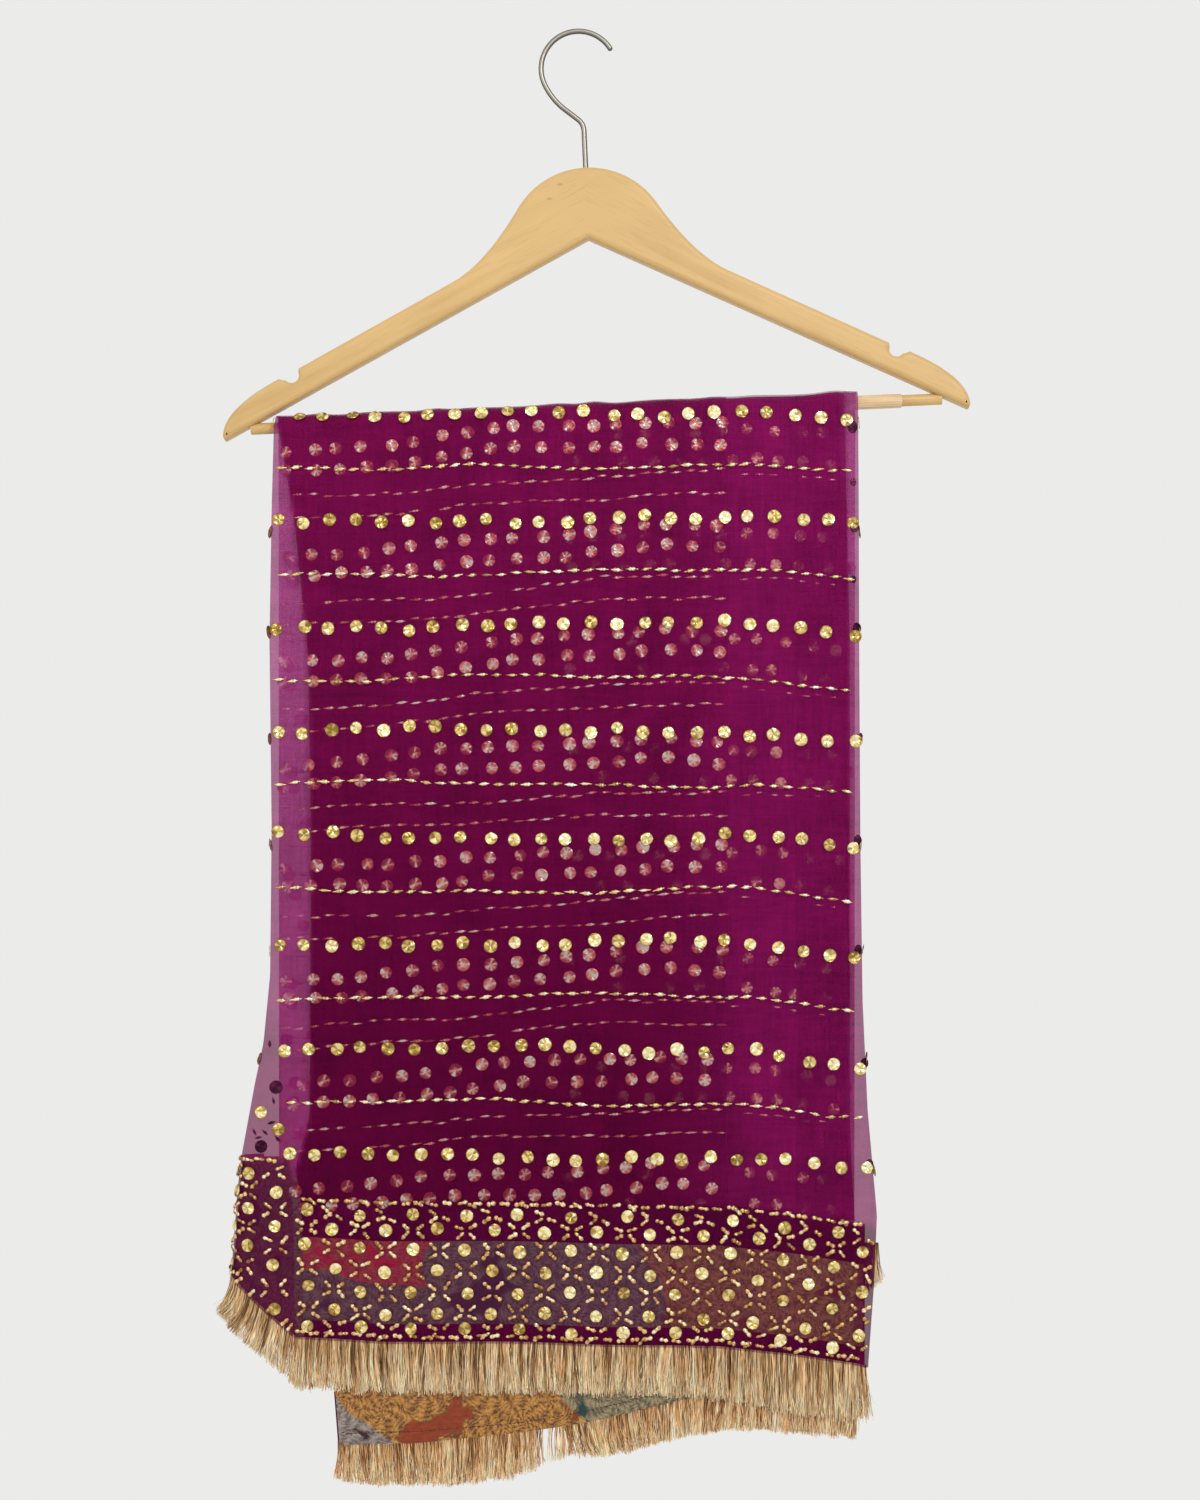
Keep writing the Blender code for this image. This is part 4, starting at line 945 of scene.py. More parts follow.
def build_hook(material):
    """The wire hook: crown, throat, bend and stem, with a rounded tip."""
    crown = arc(HOOK_CENTRE, HOOK_RADIUS, HOOK_TIP_ANGLE, HOOK_LEFT_ANGLE, 70)
    shift = HOOK_THROAT_RADIUS - HOOK_RADIUS
    throat_centre = (HOOK_CENTRE[0] - shift * math.cos(HOOK_LEFT_ANGLE),
                     HOOK_CENTRE[1] - shift * math.sin(HOOK_LEFT_ANGLE))
    throat = arc(throat_centre, HOOK_THROAT_RADIUS, HOOK_LEFT_ANGLE, HOOK_THROAT_ANGLE, 16)
    corner = Vector(HOOK_BEND)
    first = corner + (Vector(throat[-1]) - corner).normalized() * HOOK_BEND_SETBACK
    last = corner + (Vector(STEM_SEAT) - corner).normalized() * HOOK_BEND_SETBACK
    bend = bezier(first, corner, last, 12)
    down = np.array([math.sin(HANGER_TILT), -math.cos(HANGER_TILT)])
    stem = np.array(STEM_SEAT) + down * np.linspace(0.0, STEM_DEPTH, 3)[:, None]
    route = np.concatenate([crown, throat[1:], bend, stem])
    out = (crown[0] - crown[1]) / np.linalg.norm(crown[0] - crown[1])
    cap_angles = np.radians([80.0, 60.0, 40.0, 20.0])
    caps = crown[0] + out * (np.sin(cap_angles) * WIRE_RADIUS)[:, None] - out * WIRE_RADIUS * 0.2
    radii = np.concatenate([np.cos(cap_angles) * WIRE_RADIUS, np.full(len(route), WIRE_RADIUS)])
    route = np.concatenate([caps, route])
    points = np.stack([route[:, 0], np.zeros(len(route)), route[:, 1]], axis=1)
    hook = add_mesh("wire_hook", *tube(points, radii, 20), [material])
    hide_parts("hanger_hook")


# Veil


def stretch_columns():
    """For each column across the veil: its stretch, and its place there from 0 to 1."""
    names = []
    places = []
    for name, count in COLUMNS.items():
        names += [name] * count
        places += list(np.linspace(0.0, 1.0, count, endpoint=name == "return"))
    return np.array(names), np.array(places)


def roll_place(t, right):
    """X and inset round the right side fold."""
    turn = math.pi * t
    return right - ROLL_RADIUS + ROLL_RADIUS * np.sin(turn), RETURN_INSET / 2 * (1.0 - np.cos(turn))


def across_veil(names, t, left, crease, curl, end_angle, right):
    """X and inset of every column, from the edges at that column's height."""
    width = crease - left
    curl_x, curl_inset = round_curl(crease, width, curl, end_angle + (math.pi / 2 - end_angle) * t)
    end_x, end_inset = round_curl(crease, width, curl, end_angle)
    wing_x = WING_END + (WING_JOIN - WING_END) * t
    from_start = 2 * t ** 3 - 3 * t ** 2 + 1
    from_end = -2 * t ** 3 + 3 * t ** 2
    start_pull = t ** 3 - 2 * t ** 2 + t
    end_pull = (t ** 3 - t ** 2) * 1.2
    join_x = (from_start * WING_JOIN + start_pull * (end_x - WING_JOIN) + from_end * end_x
              + end_pull * width * np.sin(end_angle))
    join_inset = from_start * WING_INSET + from_end * end_inset + end_pull * curl * np.cos(end_angle)
    face_x = crease + (right - ROLL_RADIUS - crease) * t
    roll_x, roll_inset = roll_place(t, right)
    return_x = right - ROLL_RADIUS + (RETURN_END - right + ROLL_RADIUS) * t
    stretches = [names == name for name in COLUMNS]
    x = np.select(stretches, [wing_x, join_x, curl_x, face_x, roll_x, return_x])
    inset = np.select(stretches, [WING_INSET, join_inset, curl_inset, 0.0, roll_inset, RETURN_INSET])
    return x, inset


def front_section(names, t, z):
    """X and inset of every column at the front, at its height."""
    left = read_table(LEFT_EDGE, z, 1)
    crease = read_table(LEFT_EDGE, z, 2)
    curl = read_table(LEFT_EDGE, z, 3)
    return across_veil(names, t, left, crease, curl, curl_end(z), right_edge(z))


def back_section(names, t):
    """X and inset of every column down the back."""
    left = np.full_like(t, BACK_LEFT)
    join = np.full_like(t, math.radians(270))
    return across_veil(names, t, left, left + 2.4 * MM, WING_INSET / 2, join, BACK_RIGHT)


def column_hems(names, t):
    """The height where each column ends at the front."""
    wing = WING_HEM + (WING_JOIN_HEM - WING_HEM) * t
    join = WING_JOIN_HEM + (FLAP_BACK_HEM - WING_JOIN_HEM) * t
    curl = flap_hem(FLAP_BACK_ANGLE + (math.pi / 2 - FLAP_BACK_ANGLE) * t)
    left = LEFT_EDGE[-1][2] * MM
    right = RIGHT_EDGE[-1][1] * MM - ROLL_RADIUS
    face = front_hem(left + (right - left) * t)
    low = FRONT_HEM[-1][1] * MM
    back = low + (RETURN_END_HEM - low) * smooth(t)
    return np.select([names == n for n in COLUMNS], [wing, join, curl, face, low, back])


def blend(share, first, second):
    """A colour between two, for a share or an array of shares."""
    share = np.asarray(share)[..., None]
    return np.asarray(first) * (1.0 - share) + np.asarray(second) * share


def veil_tone(x, z, front):
    """Plum of the cloth, deeper low down and brighter at the right; painted backlight makes it lighter where
    few layers hang and in the open side fold.
    """
    x, z = np.broadcast_arrays(x, z)
    drop = bar_height(x) - z
    low = smooth(drop / DARK_DROP)
    tone = blend(low, FACE_COLOUR, FACE_LOW_COLOUR)
    right_tone = blend(low, FACE_RIGHT_COLOUR, np.array(FACE_RIGHT_COLOUR) * RIGHT_DIM)
    tone = blend(smooth((x - RIGHT_TONE_START) / RIGHT_TONE_WIDTH), tone, right_tone)
    # Painted backlight where few layers hang behind the cloth
    left_strip = smooth((hidden_left(drop) - x) / TONE_EDGE)
    right_strip = smooth((x - hidden_right(drop)) / TONE_EDGE)
    strip = blend(low, BACKLIT_COLOUR, BACKLIT_LOW_COLOUR)
    tone = blend(np.maximum(left_strip, right_strip), tone, strip)
    if front:
        crease = read_table(LEFT_EDGE, z, 2)
        # Painted backlight in the open side fold
        flap = smooth((crease - x) / TONE_EDGE) * smooth((FLAP_TONE_HEIGHT - z) / (30.0 * MM))
        tone = blend(flap, tone, FLAP_BACKLIT_COLOUR)
        top = np.where(x < crease, FLAP_BORDER_TOP, front_hem(x) + BORDER_HEIGHT + 2.0 * MM)
        tone = blend(smooth((top - z) / (4.0 * MM)), tone, BORDER_COLOUR)
    return tone


def lined_faces(points, names):
    """True for faces of the outer layer with the hidden layers right behind them."""
    centre = (points[:-1, :-1] + points[1:, 1:]) / 2
    drop = bar_height(centre[..., 0]) - centre[..., 2]
    x = centre[..., 0]
    inside = (x > hidden_left(drop) - MM) & (x < hidden_right(drop) + MM)
    return inside & (names[:-1] == "face")


def veil_front(names, t):
    """Rows of points and tones from the front hem up to the bar and over it."""
    hems = column_hems(names, t)
    nominal, _ = front_section(names, t, hems)
    rows = []
    tones = []
    for share in np.linspace(1.0, 0.0, VEIL_FRONT_ROWS):
        z = bar_height(nominal) - share * (bar_height(nominal) - hems)
        x, inset = front_section(names, t, z)
        z = bar_height(x) - share * (bar_height(x) - hems)
        rows.append(cloth_point(x, way_at(x, z), inset))
        tones.append(veil_tone(x, z, True))
    for way in np.linspace(QUARTER_TURN, -QUARTER_TURN, VEIL_TOP_ROWS)[1:-1]:
        x, inset = front_section(names, t, np.full_like(t, LEFT_EDGE[0][0] * MM))
        rows.append(cloth_point(x, way, inset))
        tones.append(veil_tone(x, bar_height(x), True))
    return rows, tones


def veil_back(names, t):
    """Rows of points and tones down the back, round the bottom fold and up its short return."""
    x, inset = back_section(names, t)
    drops = np.linspace(0.0, BACK_FALL - TURN_RADIUS, VEIL_BACK_ROWS)
    rows = [cloth_point(x, -QUARTER_TURN - drop, inset) for drop in drops]
    tones = [veil_tone(x, bar_height(x) - drop, False) for drop in drops]
    base = rows[-1]
    level = np.zeros_like(x)
    radius = OUTER_DEPTH - inset - TURN_CENTRE_DEPTH
    for angle in np.linspace(0.0, math.pi, 9)[1:]:
        shift = (level, -radius * (1.0 - math.cos(angle)), -radius * math.sin(angle))
        rows.append(base + np.stack(shift, axis=1))
    for rise in np.linspace(0.0, TURN_RETURN, 6)[1:]:
        rows.append(base + np.stack((level, -2.0 * radius, level + rise), axis=1))
    return rows, tones + [tones[-1]] * (len(rows) - len(tones))


def build_veil(sheer, strip):
    """The outer cloth in one sheet: its face, both side folds and what of its wings shows."""
    names, t = stretch_columns()
    rows, tones = (front + back for front, back in zip(veil_front(names, t), veil_back(names, t)))
    points = np.stack(rows)
    picks = np.where(lined_faces(points, names), 0, 1).ravel()
    veil = add_mesh("plum_veil", points, grid_faces(len(rows), len(t)), [sheer, strip], picks)
    paint(veil, np.stack(tones))
    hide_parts("front_panel", "back_panel", "left_flap")
    return veil


def layered_edge(count, height):
    """Depth and reach round an edge of folded layers: soft scallops, one for each layer."""
    t = np.linspace(0.0, 1.0, count * 6 + 1)[1:-1]
    return t, height * np.abs(np.sin(math.pi * t * count))


def layers_ring(left, right, way, squeeze=1.0):
    """One ring round the hidden layers, with scalloped sides; way may be a function of X."""
    share, reach = layered_edge(4, 1.1 * MM)
    spread = LAYERS_BACK_INSET - LAYERS_INSET
    middle = (LAYERS_INSET + LAYERS_BACK_INSET) / 2
    front_x = left + (right - left) * np.linspace(0.0, 1.0, 70)
    back_x = left + (right - left) * np.linspace(1.0, 0.0, 24)
    x = np.concatenate([front_x, right + reach, back_x, left - reach])
    inset = np.concatenate([np.full(len(front_x), LAYERS_INSET), LAYERS_INSET + spread * share,
                            np.full(len(back_x), LAYERS_BACK_INSET), LAYERS_BACK_INSET - spread * share])
    return cloth_point(x, way(x) if callable(way) else way, middle + (inset - middle) * squeeze)


def build_layers(material):
    """The folded layers inside: a flat body from the front, over the bar, to the bottom fold."""
    rings = []
    end_drop = bar_height(0.0) - LAYERS_FRONT_END
    for drop in np.linspace(end_drop, 0.0, LAYER_FRONT_ROWS):
        rings.append(layers_ring(
            hidden_left(drop), hidden_right(drop),
            lambda x: QUARTER_TURN + drop / end_drop * (bar_height(x) - LAYERS_FRONT_END)))
    for way in np.linspace(QUARTER_TURN, -QUARTER_TURN, LAYER_TOP_ROWS)[1:-1]:
        rings.append(layers_ring(hidden_left(0.0), hidden_right(0.0), way))
    fall = BACK_FALL - TURN_RADIUS
    for drop in np.linspace(0.0, fall, LAYER_BACK_ROWS):
        left = hidden_left(min(drop, BACK_EDGE_DROP))
        rings.append(layers_ring(left, hidden_right(0.0), -QUARTER_TURN - drop))
    half = (LAYERS_BACK_INSET - LAYERS_INSET) / 2
    for angle in np.radians([25.0, 50.0, 70.0, 85.0]):
        way = -QUARTER_TURN - fall - half * math.sin(angle)
        rings.append(layers_ring(hidden_left(BACK_EDGE_DROP), hidden_right(0.0), way, math.cos(angle)))
    points = np.stack(rings)
    layers = add_mesh("inner_layers", points, closed_faces(*points.shape[:2]), [material])
    x = points[..., 0]
    low = smooth((bar_height(x) - points[..., 2]) / DARK_DROP)
    # Painted shade: the hidden layers are dimmer than the face
    tone = blend(low, np.array(FACE_COLOUR) * LAYERS_PAINTED_SHADE, np.array(FACE_LOW_COLOUR) * LAYERS_PAINTED_SHADE)
    right_share = smooth((x - RIGHT_TONE_START) / RIGHT_TONE_WIDTH)
    paint(layers, blend(right_share, tone, np.array(FACE_RIGHT_COLOUR) * LAYERS_PAINTED_SHADE))
    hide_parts("hidden_layers")
    return layers


def hanging_sheet(name, material, left, right, top, bottom, inset, rows, columns, tone=None):
    """A flat layer behind the face: edges as (top, bottom) pairs, heights as functions of X."""
    points = []
    for share in np.linspace(0.0, 1.0, rows):
        x = np.linspace(left[0] + (left[1] - left[0]) * share, right[0] + (right[1] - right[0]) * share,
                        columns)
        z = top(x) + (bottom(x) - top(x)) * share
        points.append(cloth_point(x, way_at(x, z), inset))
    sheet = add_mesh(name, np.stack(points), grid_faces(rows, columns), [material])
    if tone is not None:
        paint(sheet, np.tile(np.array(tone), (rows * columns, 1)))
    return sheet


def build_tail(organza, brocade):
    """The second end, which hangs lower, and the brocade strip on the side that shows."""
    tail = hanging_sheet("second_end", organza, TAIL_LEFT, TAIL_RIGHT,
                         lambda x: LAYERS_FRONT_END + 0.0 * x, tail_hem, TAIL_INSET, 40, 110, BACKING_COLOUR)
    strip = hanging_sheet("second_end_brocade", brocade, (TAIL_LEFT[0] + MM, TAIL_LEFT[1] + MM),
                          (TAIL_RIGHT[0] - MM, TAIL_RIGHT[1] - MM),
                          lambda x: LAYERS_FRONT_END - 4.0 * MM + 0.0 * x, lambda x: tail_hem(x) + 0.6 * MM,
                          TAIL_BROCADE_INSET, 40, 110)
    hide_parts("tail_panel")
    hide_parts("tail_lining")
    return tail, strip


def build_front_brocade(organza, brocade):
    """Behind the face's border: its plain backing, and the brocade strip sewn to that."""
    backing = hanging_sheet("front_backing", organza, (-175.0 * MM, -170.3 * MM), (166.0 * MM, 165.8 * MM),
                            lambda x: front_hem(x) + BORDER_HEIGHT + 1.5 * MM,
                            lambda x: front_hem(x) + 0.6 * MM, BACKING_INSET, 26, 120, BACKING_COLOUR)
    strip = hanging_sheet("front_brocade", brocade, (-169.0 * MM, -169.0 * MM), (165.0 * MM, 165.0 * MM),
                          lambda x: front_hem(x) + BROCADE_TOP, lambda x: front_hem(x) + BROCADE_FOOT,
                          FRONT_BROCADE_INSET, 16, 110)
    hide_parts("front_lining")
    return backing, strip


def build_flap_brocade(material):
    """The brocade strip inside the open side fold."""
    rows = []
    angles = np.linspace(math.radians(84), FLAP_BACK_ANGLE, 30)
    for share in np.linspace(0.0, 1.0, 26):
        low = flap_hem(angles) + 0.3 * MM
        z = FLAP_BORDER_TOP + (low - FLAP_BORDER_TOP) * share
        x, inset = curl_place(angles, z)
        rows.append(cloth_point(x + 0.9 * MM, way_at(x, z), inset + 0.9 * MM))
    strip = add_mesh("flap_brocade", np.stack(rows), grid_faces(len(rows), len(angles)), [material])
    return strip


# Embroidery


def frames_on(surface, first, second):
    """Points on a surface, with the directions across, down and outward there."""
    step = 0.4 * MM
    middle = surface(first, second)
    across = surface(first + step, second) - surface(first - step, second)
    down = surface(first, second + step) - surface(first, second - step)
    across /= np.linalg.norm(across, axis=-1, keepdims=True)
    out = np.cross(down, across)
    out /= np.linalg.norm(out, axis=-1, keepdims=True)
    down = np.cross(across, out)
    return middle, across, down, out


def sequin_shape(pick, spoked=False):
    """A foil disc with radial creases: points, faces, and how bright each point is from 0 to 1, which is
    painted light: painted highlights on the creases and a painted shadow round the rim.
    """
    rim = 16 if spoked else 12
    turn = np.linspace(0.0, 2.0 * math.pi, rim, endpoint=False)
    # Painted highlights and shade along the radial creases
    gleam = np.clip(0.5 + 0.55 * (pick.random(rim) * 2.0 - 1.0), 0.0, 1.0)
    # Each ring is dimmed by its own amount; the dimmed rim is a painted shadow
    centre, dims = 0.42, (0.12, 0.0, 0.05, 0.7)
    if spoked:
        # Sequins seen through the veil: painted highlights on a few spokes and in the middle
        lit = pick.random(rim) > 0.68
        gleam = np.where(lit, 0.85 + 0.4 * pick.random(rim), 0.10 + 0.30 * pick.random(rim))
        centre, dims = 0.85, (-0.45, -0.06, 0.06, 0.30)
    points = [(0.0, 0.0, -0.02)]
    bright = [centre]
    rings = ((0.17, 0.02, 0.0), (0.55, 0.07, 0.08), (0.86, 0.04, 0.09), (1.0, 0.0, 0.05))
    for (size, rise, rough), dim in zip(rings, dims):
        for index, angle in enumerate(turn):
            radius = size * (1.0 + 0.05 * (pick.random() - 0.5) * (size > 0.5))
            height = rise + rough * (pick.random() * 2.0 - 1.0)
            points.append((radius * math.cos(angle), radius * math.sin(angle), height))
            bright.append(max(0.0, gleam[index] + 0.25 * (pick.random() - 0.5) - dim))
    faces = [(0, 1 + i, 1 + (i + 1) % rim) for i in range(rim)]
    for corner, side, far_side, far in grid_faces(len(rings), rim, closed=True) + 1:
        faces += [(corner, far, far_side), (corner, far_side, side)]
    return np.array(points), np.array(faces), np.array(bright)


def dash_shape(pick):
    """A stitched thread dash: a plump bead of thread drawn out to thin ends."""
    swell = 0.8 + 0.3 * pick.random()
    shift = 0.16 * (pick.random() - 0.5)
    stations = ((-0.5, 0.10), (-0.36, 0.34), (-0.22 + shift, 0.52), (-0.10 + shift, 0.98 * swell),
                (0.04 + shift, 0.84), (0.16 + shift, 1.0 * swell), (0.30, 0.42), (0.42, 0.30), (0.5, 0.08))
    return thread_shape(stations, pick)


def bead_shape(pick):
    """A short lattice dash: two plump lobes of thread."""
    first, second = 0.85 + 0.30 * pick.random(2)
    stations = ((-0.5, 0.30), (-0.38, 0.88 * first), (-0.22, first), (-0.04, 0.68), (0.04, 0.68),
                (0.22, second), (0.38, 0.88 * second), (0.5, 0.30))
    return thread_shape(stations, pick)


def thread_shape(stations, pick):
    """A thick thread along stations of place and thickness: points, faces and brightness, which is painted
    light: plump parts lighter, thin parts darker, with painted glints.
    """
    sides = 5
    points = []
    bright = []
    for index, (along, size) in enumerate(stations):
        # Painted glint of each station
        glint = pick.random()
        for side in range(sides):
            angle = 2.0 * math.pi * side / sides + 0.5 * index
            points.append((along, 0.5 * size * math.cos(angle), 0.10 + 0.24 * size * math.sin(angle)))
            # Painted light: lighter where the thread is plump, plus the glint and a little random tone
            sparkle = 0.8 * (glint - 0.5) + 0.45 * (pick.random() - 0.5)
            bright.append(np.clip(0.05 + 0.5 * size + sparkle, 0.0, 1.0))
    return np.array(points), grid_faces(len(stations), sides, closed=True), np.array(bright)


def tone_between(tones, bright):
    """Deep, middle or bright tone for values from 0 to 1."""
    deep, middle, pale = (np.array(tone) for tone in tones)
    bright = np.clip(np.asarray(bright), 0.0, 1.0)[..., None]
    return np.where(bright < 0.5, deep + (middle - deep) * bright * 2.0,
                    middle + (pale - middle) * (bright * 2.0 - 1.0))


def scatter(kit, name, shapes, spots, sizes, look, tilt, flat=True, glow=None):
    """One mesh of small pieces, each at a spot with three directions and with a size along each."""
    material, tones = look
    points = []
    faces = []
    colours = []
    start = 0
    for i, (middle, across, down, out) in enumerate(zip(*spots)):
        shape, shape_faces, bright = shapes[kit.pick.integers(len(shapes))]
        lean = (kit.pick.random(2) * 2.0 - 1.0) * tilt
        axis_out = out + across * lean[0] + down * lean[1]
        axis_out = axis_out / np.linalg.norm(axis_out)
        axis_x = across - axis_out * np.dot(across, axis_out)
        axis_x = axis_x / np.linalg.norm(axis_x)
        local = shape * np.array(sizes[i])
        points.append(middle + local @ np.stack([axis_x, np.cross(axis_out, axis_x), axis_out]))
        faces.append(shape_faces + start)
        # Each piece's tone is lifted at random and by glow, which carries painted light or random tone from
        # the caller
        lift = 0.55 * (kit.pick.random() - 0.5) + (0.0 if glow is None else glow[i])
        colours.append(tone_between(tones, bright + lift))
        start += len(local)
    obj = add_mesh(name, np.concatenate(points), np.concatenate(faces), [material], smooth_faces=not flat)
    paint(obj, np.concatenate(colours))


def join_spots(spots):
    """Several sets of spots as one."""
    return tuple(np.concatenate([spot[part] for spot in spots]) for part in range(4))


def turn_spots(spots, angle):
    """The same spots with their first direction turned in the surface."""
    middle, across, down, out = spots
    angle = np.asarray(angle)[:, None] if np.ndim(angle) else angle
    turned = across * np.cos(angle) + down * np.sin(angle)
    return middle, turned, np.cross(turned, out), out


def row_way(row, x):
    """Way along the cloth of a row: 0 is the first sequin row, halves are dashes, below 0 the back."""
    level = QUARTER_TURN + bar_height(x) - FIRST_ROW + ROW_PITCH * row
    sway = sum(height * np.sin(x / wave + turn * row + start) for height, wave, turn, start in ROW_WAVES)
    depth, start, width = RIGHT_DIP
    right = depth * smooth((x - start) / width) * (0.45 + 0.55 * np.clip(row / 6.0, 0.0, 1.0))
    depth, start, width = LEFT_DIP
    left = depth * smooth((-x - start) / width) * np.clip(1.0 - row / 3.0, 0.0, 1.0)
    return level + sway + (right + left) * (row >= 0.0)


def row_span(row):
    """Left and right ends of a row on the face."""
    if row >= 0.0:
        z = FIRST_ROW - ROW_PITCH * row
        return read_table(LEFT_EDGE, z, 2) + 1.0 * MM, right_edge(z) - 3.0 * MM
    return BACK_LEFT + 3.5 * MM, BACK_RIGHT - 3.5 * MM


def even_places(span, step, pick, jitter):
    """Places along X at even steps, each moved a little."""
    count = int((span[1] - span[0]) / step)
    offset = pick.random() * (span[1] - span[0] - count * step)
    x = span[0] + offset + step * np.arange(count + 1)
    return x + (pick.random(count + 1) * 2.0 - 1.0) * jitter


def row_spots(kit, surface, way_of, span, step, jitter, drift):
    """Spots along one row, with their first direction along it."""
    x = even_places(span, step, kit.pick, jitter)
    way = way_of(x) + (kit.pick.random(len(x)) * 2.0 - 1.0) * drift
    fall = way_of(x + MM) - way_of(x) - (bar_height(x + MM) - bar_height(x))
    return turn_spots(frames_on(surface, x, way), np.arctan2(fall, MM))


def face_rows(kit, rows, step, jitter, drift):
    """Spots of several rows on the veil's outer layer."""
    return join_spots([row_spots(kit, cloth_point, lambda x, r=row: row_way(r, x), row_span(row), step,
                                 jitter, drift) for row in rows])


def lifted(spots, height):
    """The same spots, raised off the surface."""
    return (spots[0] + spots[3] * height, *spots[1:])


def some_spots(spots, keep):
    """The spots for which keep is true."""
    return tuple(part[keep] for part in spots)


def sequin_sizes(kit, spots, radius=SEQUIN_RADIUS, height=1.0):
    """A slightly different size for a sequin at each spot."""
    sizes = 0.93 + 0.12 * kit.pick.random(len(spots[0]))
    return [(radius * size, radius * size, radius * height) for size in sizes]


def dash_sizes(kit, spots, length=DASH_LENGTH, width=DASH_WIDTH, height=DASH_HEIGHT):
    """A slightly different size for a dash of thread at each spot."""
    sizes = []
    for _ in range(len(spots[0])):
        long = length * (0.86 + 0.26 * kit.pick.random())
        sizes.append((long, width * (0.8 + 0.35 * kit.pick.random()), height))
    return sizes


def build_rows(kit):
    """Sequin and dash rows on the veil's outer layer, at the front and down the back."""
    for side, rows in (("front", range(FRONT_ROWS)), ("back", range(-BACK_ROWS, 0))):
        spots = face_rows(kit, rows, SEQUIN_STEP, 1.4 * MM, 1.5 * MM)
        spots = turn_spots(lifted(spots, 0.35 * MM), kit.pick.random(len(spots[0])) * FULL_TURN)
        # Painted light: the sequins are deeper gold at the left, lighter towards the middle and right
        glow = 0.20 * smooth((spots[0][:, 0] + 150.0 * MM) / (130.0 * MM)) - 0.16
        scatter(kit, f"{side}_sequins", kit.sequins, spots, sequin_sizes(kit, spots), kit.gold, 0.13,
                glow=glow)
        between = [row + 0.5 for row in rows if row + 0.5 < FRONT_ROWS - 1]
        spots = face_rows(kit, between, DASH_STEP, 0.5 * MM, 0.5 * MM)
        spots = turn_spots(lifted(spots, 0.2 * MM), (kit.pick.random(len(spots[0])) - 0.5) * 0.35)
        scatter(kit, f"{side}_dashes", kit.dashes, spots, dash_sizes(kit, spots), kit.gold_thread, 0.08,
                flat=False)


def wing_point(x, way):
    return cloth_point(x, way, WING_INSET - 0.25 * MM)


def layer_point(x, way):
    return cloth_point(x, way, LAYERS_INSET - 0.2 * MM)


def wing_span(row):
    """Ends of a row on the wing behind the face."""
    return row_span(row)[0] + 4.0 * MM, WING_END - 3.0 * MM


def deep_span(row):
    """Ends of a row on the hidden layers, the same for every row."""
    return DEEP_START, hidden_right(0.0) - 4.0 * MM


def ghost_spots(kit, surface, tables, rows, half, span_of, step, jitter):
    """Spots of the rows that show through, each row below a row of the face."""
    spots = []
    for row in rows:
        for table in tables:
            def way_of(x, row=row, table=table):
                return row_way(row + half, x) + read_table(table, x, 1)
            spots.append(row_spots(kit, surface, way_of, span_of(row), step, jitter, 0.9 * MM))
    return join_spots(spots)


def build_wing_ghosts(kit):
    """Embroidery of the wing behind the face, which shows through it."""
    pick = kit.pick
    spots = ghost_spots(kit, wing_point, (NEAR_SEQUINS, FAR_SEQUINS), range(-BACK_ROWS, FRONT_ROWS), 0.0,
                        wing_span, GHOST_STEP, 2.0 * MM)
    x = spots[0][:, 0]
    # Painted light: the veiled sequins are lighter round the middle, with random tone
    glow = 0.30 * np.exp(-((x - 10.0 * MM) / (75.0 * MM)) ** 2) - 0.24 + 0.45 * (pick.random(len(x)) - 0.5)
    scatter(kit, "wing_sequins", kit.spoked, spots, sequin_sizes(kit, spots, SEQUIN_RADIUS * 0.97, 0.5),
            kit.near, 0.03, glow=glow)
    spots = ghost_spots(kit, wing_point, (NEAR_DASHES, FAR_DASHES), range(-BACK_ROWS, FRONT_ROWS - 1), 0.5,
                        wing_span, DASH_STEP, 0.6 * MM)
    spots = some_spots(spots, pick.random(len(spots[0])) > 0.05)
    sizes = dash_sizes(kit, spots, width=DASH_WIDTH * 0.6, height=0.5 * MM)
    glow = 0.35 * (pick.random(len(spots[0])) - 0.4)
    scatter(kit, "wing_dashes", kit.dashes, spots, sizes, kit.near, 0.02, glow=glow)


def build_layer_ghosts(kit):
    """Embroidery of the layers deeper still, fainter and thinned out."""
    pick = kit.pick
    spots = ghost_spots(kit, layer_point, (MIDDLE_SEQUINS, DEEP_SEQUINS), range(-BACK_ROWS, FRONT_ROWS), 0.0,
                        deep_span, GHOST_STEP, 2.5 * MM)
    spots = some_spots(spots, (spots[0][:, 0] > WING_END + 4.0 * MM) | (pick.random(len(spots[0])) > 0.35))
    sizes = sequin_sizes(kit, spots, SEQUIN_RADIUS * 0.9, 0.1)
    glow = 0.7 * (pick.random(len(spots[0])) - 0.5)
    scatter(kit, "layer_sequins", kit.spoked, spots, sizes, kit.deep, 0.02, glow=glow)
    spots = ghost_spots(kit, layer_point, (DEEP_DASHES,), range(-BACK_ROWS, FRONT_ROWS - 1), 0.5, deep_span,
                        DASH_STEP, 0.8 * MM)
    spots = some_spots(spots, (spots[0][:, 0] > WING_END + 4.0 * MM) & (pick.random(len(spots[0])) > 0.3))
    sizes = dash_sizes(kit, spots, DASH_LENGTH * 0.8, DASH_WIDTH * 0.5, 0.4 * MM)
    scatter(kit, "layer_dashes", kit.dashes, spots, sizes, kit.deep, 0.02, glow=np.full(len(sizes), 0.3))


